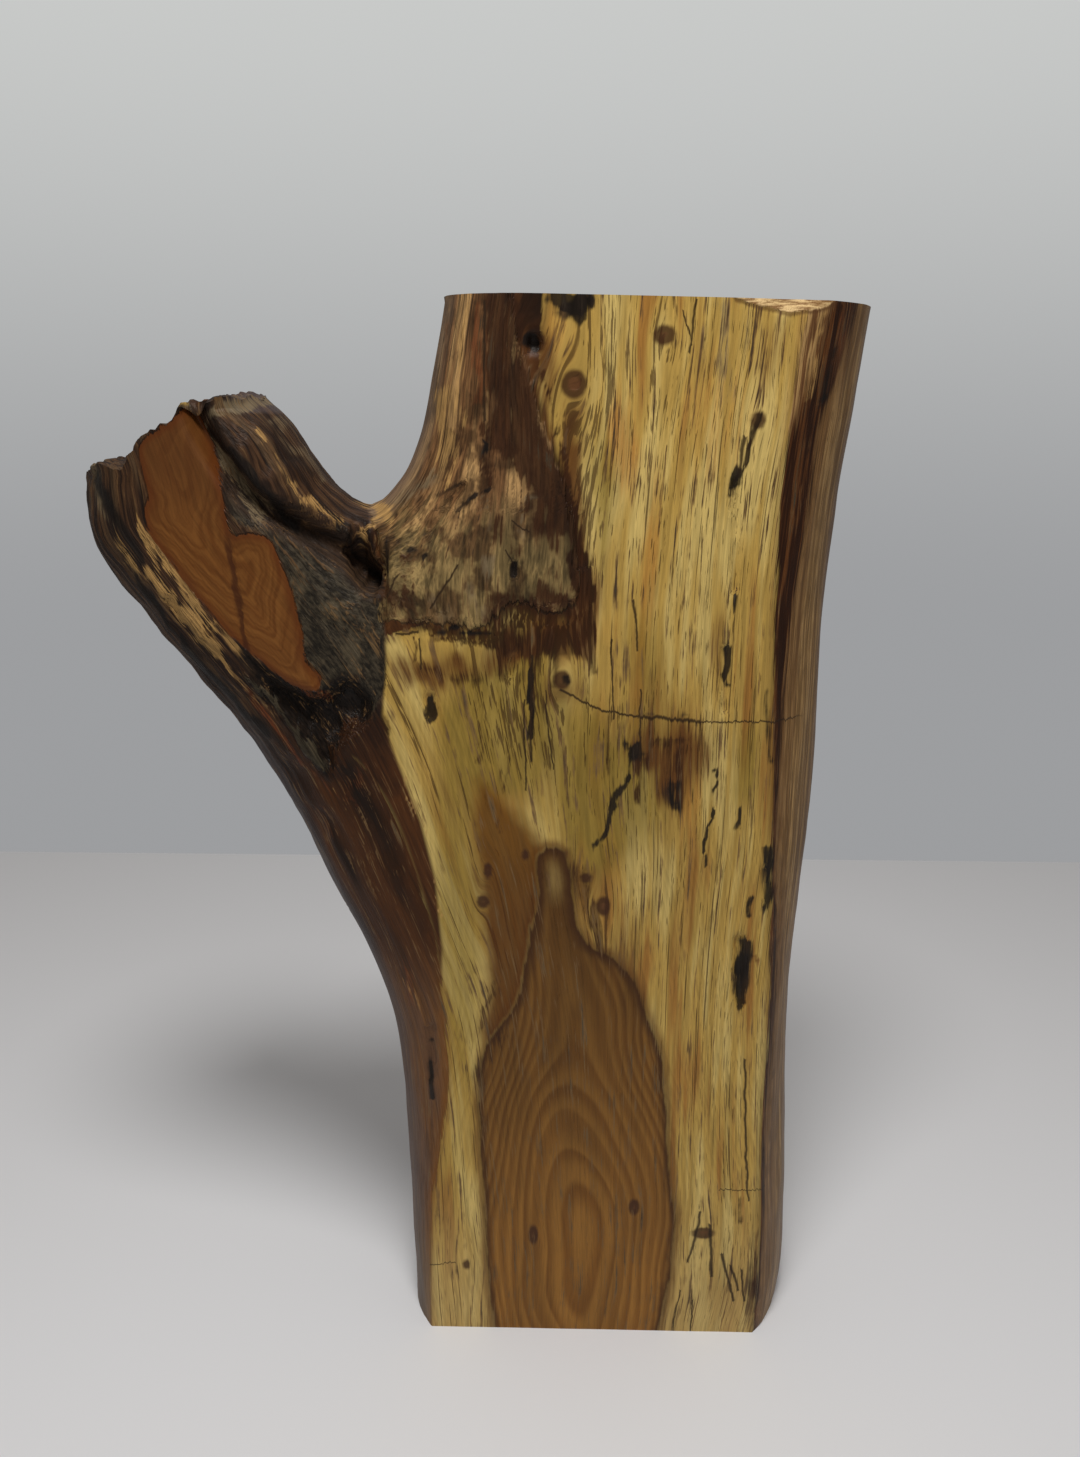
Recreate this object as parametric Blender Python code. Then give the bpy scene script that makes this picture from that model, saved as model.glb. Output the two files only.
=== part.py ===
"""Forked live-edge slab: one grown piece of wood, sawn lengthwise from a small forked trunk.

The slab stands upright on its sawn base. Its front and back are two parallel saw planes, its
top and base are saw cuts across the trunk, and its two long edges keep the trunk's own
rounded skin. A short branch leaves the left edge and ends where it broke off.

Lengths are written in millimetres and become metres as the mesh is made. +Z is up, the front
faces -Y, and the origin is the middle of the base.
"""
import math

import bmesh
import bpy
import numpy as np

MM = 0.001

# Driving dimensions of the saw cuts
SLAB_THICKNESS = 58.0
LEFT_HEIGHT = 332.2
RIGHT_HEIGHT = 329.5

# Outlines seen from the front, as (x, z). Each is a smooth curve through these points.
LOWER_EDGE = [
    (-66.0, 0.0),
    (-66.4, 48.0),
    (-68.0, 90.0),
    (-71.0, 118.0),
    (-78.2, 139.0),
    (-89.0, 163.2),
    (-97.0, 184.0),
    (-109.3, 208.0),
    (-126.3, 232.4),
    (-139.8, 251.5),
    (-149.4, 268.0),
    (-149.4, 286.4),
]
CROTCH_EDGE = [
    (-99.8, 307.5),
    (-92.8, 300.0),
    (-85.2, 288.6),
    (-78.4, 280.6),
    (-70.0, 276.8),
    (-61.5, 284.0),
    (-55.8, 295.0),
    (-51.5, 313.0),
    (-47.8, 332.2),
]
RIGHT_EDGE = [
    (63.4, 0.0),
    (64.8, 10.0),
    (64.4, 40.0),
    (61.4, 90.0),
    (60.2, 130.0),
    (61.0, 152.0),
    (62.6, 175.0),
    (62.7, 225.0),
    (62.6, 255.0),
    (64.8, 288.0),
    (66.4, 302.0),
    (67.5, 314.0),
    (69.1, 329.5),
]
BROKEN_END = [
    (-149.4, 286.4),
    (-136.0, 288.4),
    (-131.5, 294.0),
    (-119.0, 303.0),
    (-106.0, 307.2),
    (-99.8, 307.5),
]
CROTCH_POINT = 4
BRANCH_FOOT_HEIGHT = 151.0

# Roundness of the skin: how far in from the outline it takes to reach its full depth
LEFT_SKIN_RADIUS = 34.0
FLARE_SKIN_RADIUS = 24.0
RIGHT_SKIN_RADIUS = 36.0
BRANCH_SKIN_RADIUS = 27.0
BACK_SKIN_RADIUS = 44.0

# How wide the skin shows beside the front's flat face, and the turn it makes on the way
LEFT_SKIN_WIDTH = 9.0
RIGHT_SKIN_WIDTH = 14.6
EDGE_TURN = math.radians(55.0)
FORK_EASE = 28.0
EVEN_REACH = 0.7
ROOT_EASE = 0.5

# Depth of the widest line of each edge, where y = 0 is halfway between the saw planes
LEFT_WIDEST_Y = -8.0
RIGHT_WIDEST_Y = 0.0
BRANCH_WIDEST_Y = -11.0

# Where one edge's values pass into another's
MIDDLE_EASE = 20.0
FLARE_START = 90.0
FLARE_END = 150.0
TRUNK_SIDE = 66.0
BRANCH_SIDE = 112.0

# The hollow of weathered wood below the crotch, and the split that runs down the branch
HOLLOW_CENTRE = (-38.0, 263.0)
HOLLOW_HALF_SIZE = (27.0, 23.0)
HOLLOW_DEPTH = 3.0
HOLLOW_RIM = (0.5, 1.3)
RIM_EASE = (2.0, 8.0)
SPLIT_START = (-113.0, 302.0)
SPLIT_END = (-74.0, 262.0)
SPLIT_HALF_WIDTH = 6.0
SPLIT_DEPTH = 5.0

# Fineness of the mesh
FOOT_ROWS = 19
FORK_ROWS = 21
TOP_ROWS = 10
EDGE_COLUMNS = 5
FACE_COLUMNS = 17
BRANCH_ROWS = 12
CURVE_SAMPLES = 600
SHARP_ANGLE = math.radians(25.0)
WELD_DISTANCE = 0.00001

FRONT_Y = -SLAB_THICKNESS / 2
BACK_Y = SLAB_THICKNESS / 2


def smooth_curve(points):
    """A closely sampled Catmull-Rom curve through the points, spaced by chord length."""
    points = np.asarray(points, float)
    steps = np.linalg.norm(np.diff(points, axis=0), axis=1)
    knots = np.concatenate(([0.0], np.cumsum(steps)))
    slopes = np.gradient(points, knots, axis=0)
    along = np.linspace(0.0, knots[-1], CURVE_SAMPLES)
    k = np.clip(np.searchsorted(knots, along, side="right") - 1, 0, len(points) - 2)
    gap = (knots[k + 1] - knots[k])[:, None]
    u = ((along - knots[k])[:, None]) / gap
    start = (2 * u**3 - 3 * u**2 + 1) * points[k] + (u**3 - 2 * u**2 + u) * gap * slopes[k]
    finish = (3 * u**2 - 2 * u**3) * points[k + 1] + (u**3 - u**2) * gap * slopes[k + 1]
    return start + finish


def at_height(curve, heights):
    """Points of a rising curve at the given heights."""
    order = np.argsort(curve[:, 1])
    x = np.interp(heights, curve[order, 1], curve[order, 0])
    return np.stack([x, heights], axis=-1)


def at_share(curve, shares):
    """Points at the given shares of a curve's length."""
    steps = np.linalg.norm(np.diff(curve, axis=0), axis=1)
    length = np.concatenate(([0.0], np.cumsum(steps)))
    along = np.asarray(shares) * length[-1]
    x = np.interp(along, length, curve[:, 0])
    z = np.interp(along, length, curve[:, 1])
    return np.stack([x, z], axis=-1)


def distance_to(curve, points):
    """Shortest distance from each point to a curve, taken over its short chords."""
    chord = np.diff(curve, axis=0)
    flat = points.reshape(-1, 2)
    reach = flat[:, None, :] - curve[None, :-1]
    share = np.clip((reach * chord).sum(-1) / (chord * chord).sum(-1), 0.0, 1.0)
    gap = np.linalg.norm(reach - share[..., None] * chord, axis=-1)
    return gap.min(axis=1).reshape(points.shape[:-1])


def ramp(value, low, high):
    """A smooth step from 0 at low to 1 at high."""
    share = np.clip((value - low) / (high - low), 0.0, 1.0)
    return share * share * (3.0 - 2.0 * share)


def mix(first, second, share):
    """Between first and second by the share."""
    return first + (second - first) * share


lower_edge = smooth_curve(LOWER_EDGE)
crotch_edge = smooth_curve(CROTCH_EDGE)
right_edge = smooth_curve(RIGHT_EDGE)
crotch = np.array(CROTCH_EDGE[CROTCH_POINT])
branch_foot = at_height(lower_edge, np.array([BRANCH_FOOT_HEIGHT]))[0]


def trunk_grid():
    """Rows from the left outline, or from the branch's root, to the right outline."""
    left_heights = np.concatenate([
        np.linspace(0.0, BRANCH_FOOT_HEIGHT, FOOT_ROWS + 1)[:-1],
        np.linspace(BRANCH_FOOT_HEIGHT, crotch[1], FORK_ROWS + 1)[:-1],
        np.linspace(crotch[1], LEFT_HEIGHT, TOP_ROWS + 1),
    ])
    upper_left = crotch_edge[crotch_edge[:, 0] >= crotch[0]]
    left = at_height(lower_edge, left_heights)
    root_share = (left_heights - BRANCH_FOOT_HEIGHT) / (crotch[1] - BRANCH_FOOT_HEIGHT)
    in_fork = (left_heights > BRANCH_FOOT_HEIGHT) & (left_heights < crotch[1])
    left[in_fork] = mix(branch_foot, crotch, root_share[in_fork, None])
    above = left_heights > crotch[1]
    left[above] = at_height(upper_left, left_heights[above])
    left[FOOT_ROWS + FORK_ROWS] = crotch
    right = at_height(right_edge, left_heights * RIGHT_HEIGHT / LEFT_HEIGHT)

    turn = np.linspace(0.0, EDGE_TURN, EDGE_COLUMNS + 1)
    edge = (1.0 - np.cos(turn)) / (1.0 - math.cos(EDGE_TURN))
    width = np.linalg.norm(right - left, axis=1)[:, None]
    left_part = LEFT_SKIN_WIDTH / width * edge
    right_part = 1.0 - RIGHT_SKIN_WIDTH / width * edge[::-1]
    middle = np.linspace(0.0, 1.0, FACE_COLUMNS + 1)[1:-1]
    face = mix(left_part[:, -1:], right_part[:, :1], middle)
    shares = np.concatenate([left_part, face, right_part], axis=1)
    even = np.broadcast_to(np.linspace(0.0, 1.0, shares.shape[1]), shares.shape)
    above_foot = ramp(left_heights, BRANCH_FOOT_HEIGHT, BRANCH_FOOT_HEIGHT + FORK_EASE)
    below_crotch = 1.0 - ramp(left_heights, crotch[1] - FORK_EASE, crotch[1])
    evening = (above_foot * below_crotch)[:, None] * (1.0 - ramp(shares, 0.0, EVEN_REACH))
    shares = mix(shares, even, evening)
    return left[:, None] + shares[..., None] * (right - left)[:, None], in_fork


def branch_grid():
    """A blend of four borders: the root line, the broken end and the branch's two outlines."""
    s = np.linspace(0.0, 1.0, FORK_ROWS + 1)[None, :]
    t = np.linspace(0.0, 1.0, BRANCH_ROWS + 1)[:, None]
    rounded = (1.0 - np.cos(math.pi * s)) / 2
    s = mix(s, rounded, ramp(t, 0.0, ROOT_EASE))
    below = lower_edge[lower_edge[:, 1] >= BRANCH_FOOT_HEIGHT]
    below = np.concatenate([[branch_foot], below])
    above = crotch_edge[crotch_edge[:, 0] <= crotch[0]][::-1]
    above = np.concatenate([[crotch], above])
    root = mix(branch_foot, crotch, s[..., None])
    end = at_share(np.array(BROKEN_END), s)
    lower = at_share(below, t)
    upper = at_share(above, t)
    tip_low = np.array(BROKEN_END[0])
    tip_high = np.array(BROKEN_END[-1])
    s3 = s[..., None]
    t3 = t[..., None]
    corners = (1 - s3) * (1 - t3) * branch_foot + s3 * (1 - t3) * crotch
    corners = corners + (1 - s3) * t3 * tip_low + s3 * t3 * tip_high
    return (1 - t3) * root + t3 * end + (1 - s3) * lower + s3 * upper - corners


def hollows(points):
    """How far the front dips at the weathered hollow and along the branch's split."""
    offset = (points - np.array(HOLLOW_CENTRE)) / np.array(HOLLOW_HALF_SIZE)
    dip = HOLLOW_DEPTH * (1.0 - ramp((offset**4).sum(-1), *HOLLOW_RIM))
    split = np.array([SPLIT_START, SPLIT_END])
    away = distance_to(split, points)
    return np.maximum(dip, SPLIT_DEPTH * (1.0 - ramp(away, 0.0, SPLIT_HALF_WIDTH)))


def depths(points, on_outline):
    """The front and back y of each (x, z): the skin's arc, cut off at the two saw planes."""
    x = points[..., 0]
    z = points[..., 1]
    inward = np.minimum(distance_to(lower_edge, points), distance_to(right_edge, points))
    inward = np.minimum(inward, distance_to(crotch_edge, points))
    inward = np.where(on_outline, 0.0, inward)
    out_on_branch = ramp(-x, TRUNK_SIDE, BRANCH_SIDE)
    right_share = ramp(x, -MIDDLE_EASE, MIDDLE_EASE)
    flare = ramp(z, FLARE_START, FLARE_END)
    left_radius = mix(LEFT_SKIN_RADIUS, FLARE_SKIN_RADIUS, flare)
    front_radius = mix(left_radius, RIGHT_SKIN_RADIUS, right_share)
    front_radius = mix(front_radius, BRANCH_SKIN_RADIUS, out_on_branch)
    back_radius = mix(BACK_SKIN_RADIUS, BRANCH_SKIN_RADIUS, out_on_branch)
    widest = mix(LEFT_WIDEST_Y, RIGHT_WIDEST_Y, right_share)
    widest = mix(widest, BRANCH_WIDEST_Y, out_on_branch)
    front_in = np.minimum(inward, front_radius)
    back_in = np.minimum(inward, back_radius)
    front = widest - np.sqrt(2 * front_radius * front_in - front_in**2)
    back = widest + np.sqrt(2 * back_radius * back_in - back_in**2)
    front = np.maximum(front, FRONT_Y)
    dip = hollows(points) * ramp(inward, *RIM_EASE)
    return np.minimum(front + dip, back), np.minimum(back, BACK_Y)


def grid_faces(bm, points):
    """Add one four-sided face for each cell of a grid of points."""
    rows = [[bm.verts.new(p * MM) for p in row] for row in points]
    for low, high in zip(rows[:-1], rows[1:]):
        for k in range(len(low) - 1):
            bm.faces.new((low[k], low[k + 1], high[k + 1], high[k]))


def in_space(plan, y):
    """(x, z) points with their y, as (x, y, z)."""
    return np.stack([plan[..., 0], y, plan[..., 1]], axis=-1)


def make_slab():
    """The whole piece: front and back sheets that meet at the outline, and the three ends."""
    trunk, in_fork = trunk_grid()
    branch = branch_grid()
    trunk_outline = np.zeros(trunk.shape[:2], bool)
    trunk_outline[:, 0] = ~in_fork
    trunk_outline[:, -1] = True
    branch_outline = np.zeros(branch.shape[:2], bool)
    branch_outline[:, [0, -1]] = True
    trunk_front, trunk_back = depths(trunk, trunk_outline)
    branch_front, branch_back = depths(branch, branch_outline)

    bm = bmesh.new()
    for plan, front, back in ((trunk, trunk_front, trunk_back), (branch, branch_front, branch_back)):
        grid_faces(bm, in_space(plan, front))
        grid_faces(bm, in_space(plan, back))
    for plan, front, back in (
        (trunk[0], trunk_front[0], trunk_back[0]),
        (trunk[-1], trunk_front[-1], trunk_back[-1]),
        (branch[-1], branch_front[-1], branch_back[-1]),
    ):
        grid_faces(bm, np.stack([in_space(plan, front), in_space(plan, back)]))
    bmesh.ops.remove_doubles(bm, verts=bm.verts, dist=WELD_DISTANCE)
    bmesh.ops.recalc_face_normals(bm, faces=bm.faces)
    mesh = bpy.data.meshes.new("forked_slab")
    bm.to_mesh(mesh)
    bm.free()
    slab = bpy.data.objects.new("forked_slab", mesh)
    bpy.context.collection.objects.link(slab)
    mesh.shade_smooth()
    mesh.set_sharp_from_angle(angle=SHARP_ANGLE)
    return slab


def oiled_wood():
    """Yellow-brown wood, sanded and oiled."""
    material = bpy.data.materials.new("oiled_wood")
    material.use_nodes = True
    shader = material.node_tree.nodes["Principled BSDF"]
    shader.inputs["Base Color"].default_value = (0.40, 0.27, 0.10, 1.0)
    shader.inputs["Roughness"].default_value = 0.45
    shader.inputs["Metallic"].default_value = 0.0
    return material


for old in list(bpy.data.objects):
    bpy.data.objects.remove(old, do_unlink=True)
make_slab().data.materials.append(oiled_wood())
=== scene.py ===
# %% [markdown]
# # A forked live-edge slab
#
# The object is one thick slice of a small forked trunk. It was sawn along the trunk, sanded and
# oiled on its two flat faces, and left rough and dark on its natural edges. It stands on its
# sawn base. This lesson builds its fine surface as one closed mesh, gives it procedural wood,
# and sets up a camera and a soft light.
#
# The packed model is loaded first. It fixes the size and the place of everything below.

# %% Load the frame and keep its box
import math

import bmesh
import bpy
import numpy as np
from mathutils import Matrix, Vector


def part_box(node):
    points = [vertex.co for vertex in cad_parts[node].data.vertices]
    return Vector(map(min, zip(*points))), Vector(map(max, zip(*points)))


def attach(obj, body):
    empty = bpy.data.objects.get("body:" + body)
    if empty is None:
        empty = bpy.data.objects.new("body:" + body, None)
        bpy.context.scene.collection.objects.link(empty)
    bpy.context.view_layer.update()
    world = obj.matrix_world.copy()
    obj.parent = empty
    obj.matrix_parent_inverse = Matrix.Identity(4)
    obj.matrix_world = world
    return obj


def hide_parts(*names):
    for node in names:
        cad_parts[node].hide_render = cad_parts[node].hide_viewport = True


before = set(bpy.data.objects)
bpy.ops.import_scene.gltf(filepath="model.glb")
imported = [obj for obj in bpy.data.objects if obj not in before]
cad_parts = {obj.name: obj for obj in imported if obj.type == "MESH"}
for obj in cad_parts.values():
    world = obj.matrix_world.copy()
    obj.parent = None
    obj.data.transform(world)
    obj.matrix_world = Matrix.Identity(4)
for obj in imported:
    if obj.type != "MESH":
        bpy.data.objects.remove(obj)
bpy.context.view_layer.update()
MM = 0.001

# %% [markdown]
# ## Helpers for curves and smooth steps
#
# Every outline on this slab is a smooth curve through a few listed points. Each point also
# carries two sizes of the wood's skin there, so the same curve blends the sizes along its
# length. Blender has curve objects of its own. Plain arrays were chosen because each later step
# asks for distances to these curves, at many thousand points together.

# %% Smooth steps
def ramp(value, low, high):
    """A smooth step: 0 below low, 1 above high, and the curve 3s^2 - 2s^3 between them."""
    share = np.clip((value - low) / (high - low), 0.0, 1.0)
    return share * share * (3.0 - 2.0 * share)


def mix(first, second, share):
    """The value that lies between first and second by the share."""
    return first + (second - first) * share


print("a smooth step at a quarter:", float(ramp(0.25, 0.0, 1.0)))


# %% Curves through points
def smooth_curve(points, samples=160):
    """A Catmull-Rom curve: between two points a cubic leaves and arrives along the chord that
    joins their neighbours. Columns past x and z are blended in the same way."""
    points = np.asarray(points, float)
    steps = np.linalg.norm(np.diff(points[:, :2], axis=0), axis=1)
    knots = np.concatenate(([0.0], np.cumsum(steps)))
    slopes = np.gradient(points, knots, axis=0)
    along = np.linspace(0.0, knots[-1], samples)
    k = np.clip(np.searchsorted(knots, along, side="right") - 1, 0, len(points) - 2)
    gap = (knots[k + 1] - knots[k])[:, None]
    u = (along - knots[k])[:, None] / gap
    leaving = (2 * u**3 - 3 * u**2 + 1) * points[k] + (u**3 - 2 * u**2 + u) * gap * slopes[k]
    arriving = (3 * u**2 - 2 * u**3) * points[k + 1] + (u**3 - u**2) * gap * slopes[k + 1]
    return leaving + arriving


def curve_lengths(curve):
    """The running length of a curve at each of its samples."""
    steps = np.linalg.norm(np.diff(curve[:, :2], axis=0), axis=1)
    return np.concatenate(([0.0], np.cumsum(steps)))


def at_height(curve, heights):
    """Points of a rising curve at the given heights."""
    order = np.argsort(curve[:, 1])
    x = np.interp(heights, curve[order, 1], curve[order, 0])
    return np.stack([x, heights], axis=-1)


def at_share(curve, shares):
    """Points at the given shares of a curve's length."""
    length = curve_lengths(curve)
    along = np.asarray(shares) * length[-1]
    x = np.interp(along, length, curve[:, 0])
    z = np.interp(along, length, curve[:, 1])
    return np.stack([x, z], axis=-1)


trial = smooth_curve([(0.0, 0.0), (3.0, 4.0), (0.0, 8.0)])
print("a trial curve's length:", round(float(curve_lengths(trial)[-1]), 2))


# %% Distances
def nearest(curve, points, batch=8000):
    """For each point, its distance to the curve and the curve's row of values at the foot of
    that shortest line. Each short chord is tried at once, and the smallest distance wins."""
    flat = points.reshape(-1, 2)
    chord = np.diff(curve[:, :2], axis=0)
    lengths = (chord * chord).sum(-1)
    gaps = np.empty(len(flat))
    values = np.empty((len(flat), curve.shape[1]))
    for start in range(0, len(flat), batch):
        part = slice(start, start + batch)
        reach = flat[part, None, :] - curve[None, :-1, :2]
        share = np.clip((reach * chord).sum(-1) / lengths, 0.0, 1.0)
        away = np.linalg.norm(reach - share[..., None] * chord, axis=-1)
        best = away.argmin(axis=1)
        row = np.arange(len(best))
        gaps[part] = away[row, best]
        values[part] = mix(curve[best], curve[best + 1], share[row, best][:, None])
    return gaps.reshape(points.shape[:-1]), values.reshape(*points.shape[:-1], -1)


def inside(outline, points):
    """Signed distance to a closed outline, positive inside: a ray to the right of an inner
    point crosses the outline an odd number of times."""
    gap, _ = nearest(outline, points)
    x = points[..., 0, None]
    z = points[..., 1, None]
    x0, z0 = outline[:-1, 0], outline[:-1, 1]
    x1, z1 = outline[1:, 0], outline[1:, 1]
    spans = (z0 > z) != (z1 > z)
    rise = np.where(z1 == z0, 1.0, z1 - z0)
    crossing = x < x0 + (z - z0) / rise * (x1 - x0)
    odd = (spans & crossing).sum(-1) % 2 == 1
    return np.where(odd, gap, -gap)


trial_gap, _ = nearest(trial, np.array([[5.0, 4.0]]))
print("distance to the trial curve:", round(float(trial_gap[0]), 2))

# %% [markdown]
# ## Smooth noise
#
# Natural surfaces need numbers that wander smoothly. Value noise does that: a table holds one
# random number for each corner of a lattice, and a point between the corners blends the eight
# around it. Blender's noise functions take one point a call, and a table is read for all points
# together. It comes from a fixed seed, so the slab is the same each time.

# %% Value noise
TABLE_SIDE = 64
noise_table = np.random.default_rng(7).uniform(-1.0, 1.0, (TABLE_SIDE, TABLE_SIDE, TABLE_SIDE))


def wander(u, v, w=0.0):
    """Smooth noise from -1 to 1: the eight nearest table values, blended by smooth steps."""
    u, v, w = np.broadcast_arrays(u, v, w)
    low = [np.floor(c).astype(int) for c in (u, v, w)]
    fade = [(c - b) ** 2 * (3.0 - 2.0 * (c - b)) for c, b in zip((u, v, w), low)]
    total = np.zeros(u.shape)
    for i in (0, 1):
        for j in (0, 1):
            for k in (0, 1):
                value = noise_table[tuple((b + s) % TABLE_SIDE for b, s in zip(low, (i, j, k)))]
                weight = np.ones(u.shape)
                for f, s in zip(fade, (i, j, k)):
                    weight = weight * (f if s else 1.0 - f)
                total = total + value * weight
    return total


def rough(u, v, w=0.0, octaves=3):
    """Layers of wander, each twice as fine and half as strong as the one before."""
    total = 0.0
    for k in range(octaves):
        total = total + wander(u * 2**k + 11.3 * k, v * 2**k + 5.7 * k, w * 2**k) / 2**k
    return total / (2.0 - 0.5 ** (octaves - 1))


print("noise at one point:", round(float(rough(0.4, 1.7)), 4))

# %% [markdown]
# ## The outline seen from the front
#
# Three curves bound the slab: the left edge that runs from the base up under the branch, the
# edge that comes back down the branch's upper side, through the crotch and up to the top, and
# the right edge. The fourth line is the branch's broken end, with its steps. Each point is x, z,
# how wide the rounded skin shows beside the flat front, and how far behind the front its widest
# line lies. A few points with a smooth curve through them keep the outline as calm as grown wood.

# %% Outline points, in millimetres
LOWER_EDGE = [
    (-66.0, 0.0, 7.5, 21.0),
    (-66.4, 48.0, 9.5, 21.0),
    (-68.0, 90.0, 17.0, 21.0),
    (-71.0, 118.0, 20.5, 21.0),
    (-78.2, 139.0, 27.0, 21.0),
    (-89.0, 163.2, 31.8, 20.0),
    (-97.0, 184.0, 32.0, 20.0),
    (-109.3, 208.0, 24.2, 19.0),
    (-126.3, 232.4, 15.4, 18.0),
    (-139.8, 251.5, 13.6, 18.0),
    (-149.4, 268.0, 13.6, 18.0),
    (-149.4, 286.4, 12.0, 18.0),
]
CROTCH_EDGE = [
    (-99.8, 307.5, 15.0, 18.0),
    (-92.8, 300.0, 16.0, 18.0),
    (-85.2, 288.6, 18.0, 18.0),
    (-78.4, 280.6, 24.0, 19.0),
    (-70.0, 276.8, 34.0, 20.0),
    (-61.5, 284.0, 36.0, 20.0),
    (-55.8, 295.0, 34.0, 21.0),
    (-51.5, 313.0, 30.0, 21.0),
    (-47.8, 332.2, 28.0, 21.0),
]
RIGHT_EDGE = [
    (63.4, 0.0, 12.0, 29.0),
    (64.8, 10.0, 13.4, 29.0),
    (64.4, 40.0, 13.0, 29.0),
    (61.4, 90.0, 12.0, 29.0),
    (60.2, 130.0, 11.0, 29.0),
    (61.0, 152.0, 12.8, 29.0),
    (62.6, 175.0, 15.5, 29.0),
    (62.7, 225.0, 18.3, 29.0),
    (62.6, 255.0, 19.6, 29.0),
    (64.8, 288.0, 21.6, 29.0),
    (66.4, 302.0, 22.4, 29.0),
    (67.5, 314.0, 22.4, 29.0),
    (69.1, 329.5, 21.5, 29.0),
]
BROKEN_END = [
    (-149.4, 286.4),
    (-146.0, 289.0),
    (-140.5, 289.8),
    (-134.5, 289.0),
    (-132.0, 292.0),
    (-130.6, 295.5),
    (-125.5, 298.0),
    (-120.5, 301.0),
    (-117.0, 304.8),
    (-108.0, 307.4),
    (-99.8, 307.5),
]
CROTCH_POINT = 4
BRANCH_FOOT_HEIGHT = 151.0
slab_low, slab_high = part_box("forked_slab")
SLAB_THICKNESS = (slab_high.y - slab_low.y) / MM
FRONT_Y = -SLAB_THICKNESS / 2
BACK_Y = SLAB_THICKNESS / 2
LEFT_HEIGHT = CROTCH_EDGE[-1][1]
RIGHT_HEIGHT = RIGHT_EDGE[-1][1]
TOP_LEFT_X = CROTCH_EDGE[-1][0]
TOP_WIDTH = RIGHT_EDGE[-1][0] - TOP_LEFT_X
BACK_SKIN_WIDTH = 19.0
BRANCH_ROUND = 27.0

lower_edge = smooth_curve(LOWER_EDGE)
crotch_edge = smooth_curve(CROTCH_EDGE)
right_edge = smooth_curve(RIGHT_EDGE)
crotch = np.array(CROTCH_EDGE[CROTCH_POINT][:2])
branch_foot = at_height(lower_edge, np.array([BRANCH_FOOT_HEIGHT]))[0]
print("left edge, mm:", round(float(curve_lengths(lower_edge)[-1]), 1))
print("slab thickness, mm:", round(SLAB_THICKNESS, 2))

# %% [markdown]
# ## Two grids of points
#
# A forked shape has no single grid, so it gets two that share a line. The trunk's rows run from
# left to right. Where the branch leaves, they start on a straight root line from under the
# branch to the crotch. The branch's grid blends its four borders: the root line, the broken end
# and its two outlines. A voxel remesh could join a trunk and a branch too, but its points would
# cross the outlines at random. Here they follow them, and rows lie closer together near an
# outline, where the skin turns away.

# %% Grid fineness
ROW_STEP = 1.5
EDGE_COLUMNS = 16
FACE_COLUMNS = 128
BRANCH_ROWS = 62
EDGE_TURN = math.radians(55.0)
FORK_EASE = 30.0
EVEN_REACH = 0.7
ROOT_EASE = 0.5
WIDEST_EDGE_PART = 16.0
foot_rows = round(BRANCH_FOOT_HEIGHT / ROW_STEP)
fork_rows = round((crotch[1] - BRANCH_FOOT_HEIGHT) / ROW_STEP)
top_rows = round((LEFT_HEIGHT - crotch[1]) / ROW_STEP)
print("rows:", foot_rows, fork_rows, top_rows)


# %% Trunk grid
def trunk_grid():
    """Each row is a straight line between its left and right end. Points on it sit at shares of
    its length: near each end the share follows 1 - cos(turn), and between them it is even."""
    heights = np.concatenate([
        np.linspace(0.0, BRANCH_FOOT_HEIGHT, foot_rows + 1)[:-1],
        np.linspace(BRANCH_FOOT_HEIGHT, crotch[1], fork_rows + 1)[:-1],
        np.linspace(crotch[1], LEFT_HEIGHT, top_rows + 1),
    ])
    in_fork = (heights > BRANCH_FOOT_HEIGHT) & (heights < crotch[1])
    left = at_height(lower_edge, heights)
    rise = (heights - BRANCH_FOOT_HEIGHT) / (crotch[1] - BRANCH_FOOT_HEIGHT)
    left[in_fork] = mix(branch_foot, crotch, rise[in_fork, None])
    above = heights > crotch[1]
    left[above] = at_height(crotch_edge[crotch_edge[:, 0] >= crotch[0]], heights[above])
    left[foot_rows + fork_rows] = crotch
    right = at_height(right_edge, heights * RIGHT_HEIGHT / LEFT_HEIGHT)

    turn = np.linspace(0.0, EDGE_TURN, EDGE_COLUMNS + 1)
    bunched = (1.0 - np.cos(turn)) / (1.0 - math.cos(EDGE_TURN))
    length = np.linalg.norm(right - left, axis=1)[:, None]
    left_skin = nearest(lower_edge, left)[1][:, 2:3]
    right_skin = nearest(right_edge, right)[1][:, 2:3]
    left_skin = np.minimum(left_skin, WIDEST_EDGE_PART)
    left_part = left_skin / length * bunched
    right_part = 1.0 - right_skin / length * bunched[::-1]
    middle = np.linspace(0.0, 1.0, FACE_COLUMNS + 1)[1:-1]
    face = mix(left_part[:, -1:], right_part[:, :1], middle)
    shares = np.concatenate([left_part, face, right_part], axis=1)
    even = np.broadcast_to(np.linspace(0.0, 1.0, shares.shape[1]), shares.shape)
    above_foot = ramp(heights, BRANCH_FOOT_HEIGHT, BRANCH_FOOT_HEIGHT + FORK_EASE)
    below_crotch = 1.0 - ramp(heights, crotch[1] - FORK_EASE, crotch[1])
    evening = (above_foot * below_crotch)[:, None] * (1.0 - ramp(shares, 0.0, EVEN_REACH))
    shares = mix(shares, even, evening)
    return left[:, None] + shares[..., None] * (right - left)[:, None], in_fork


trunk, in_fork = trunk_grid()
print("trunk grid:", trunk.shape[:2])


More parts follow.
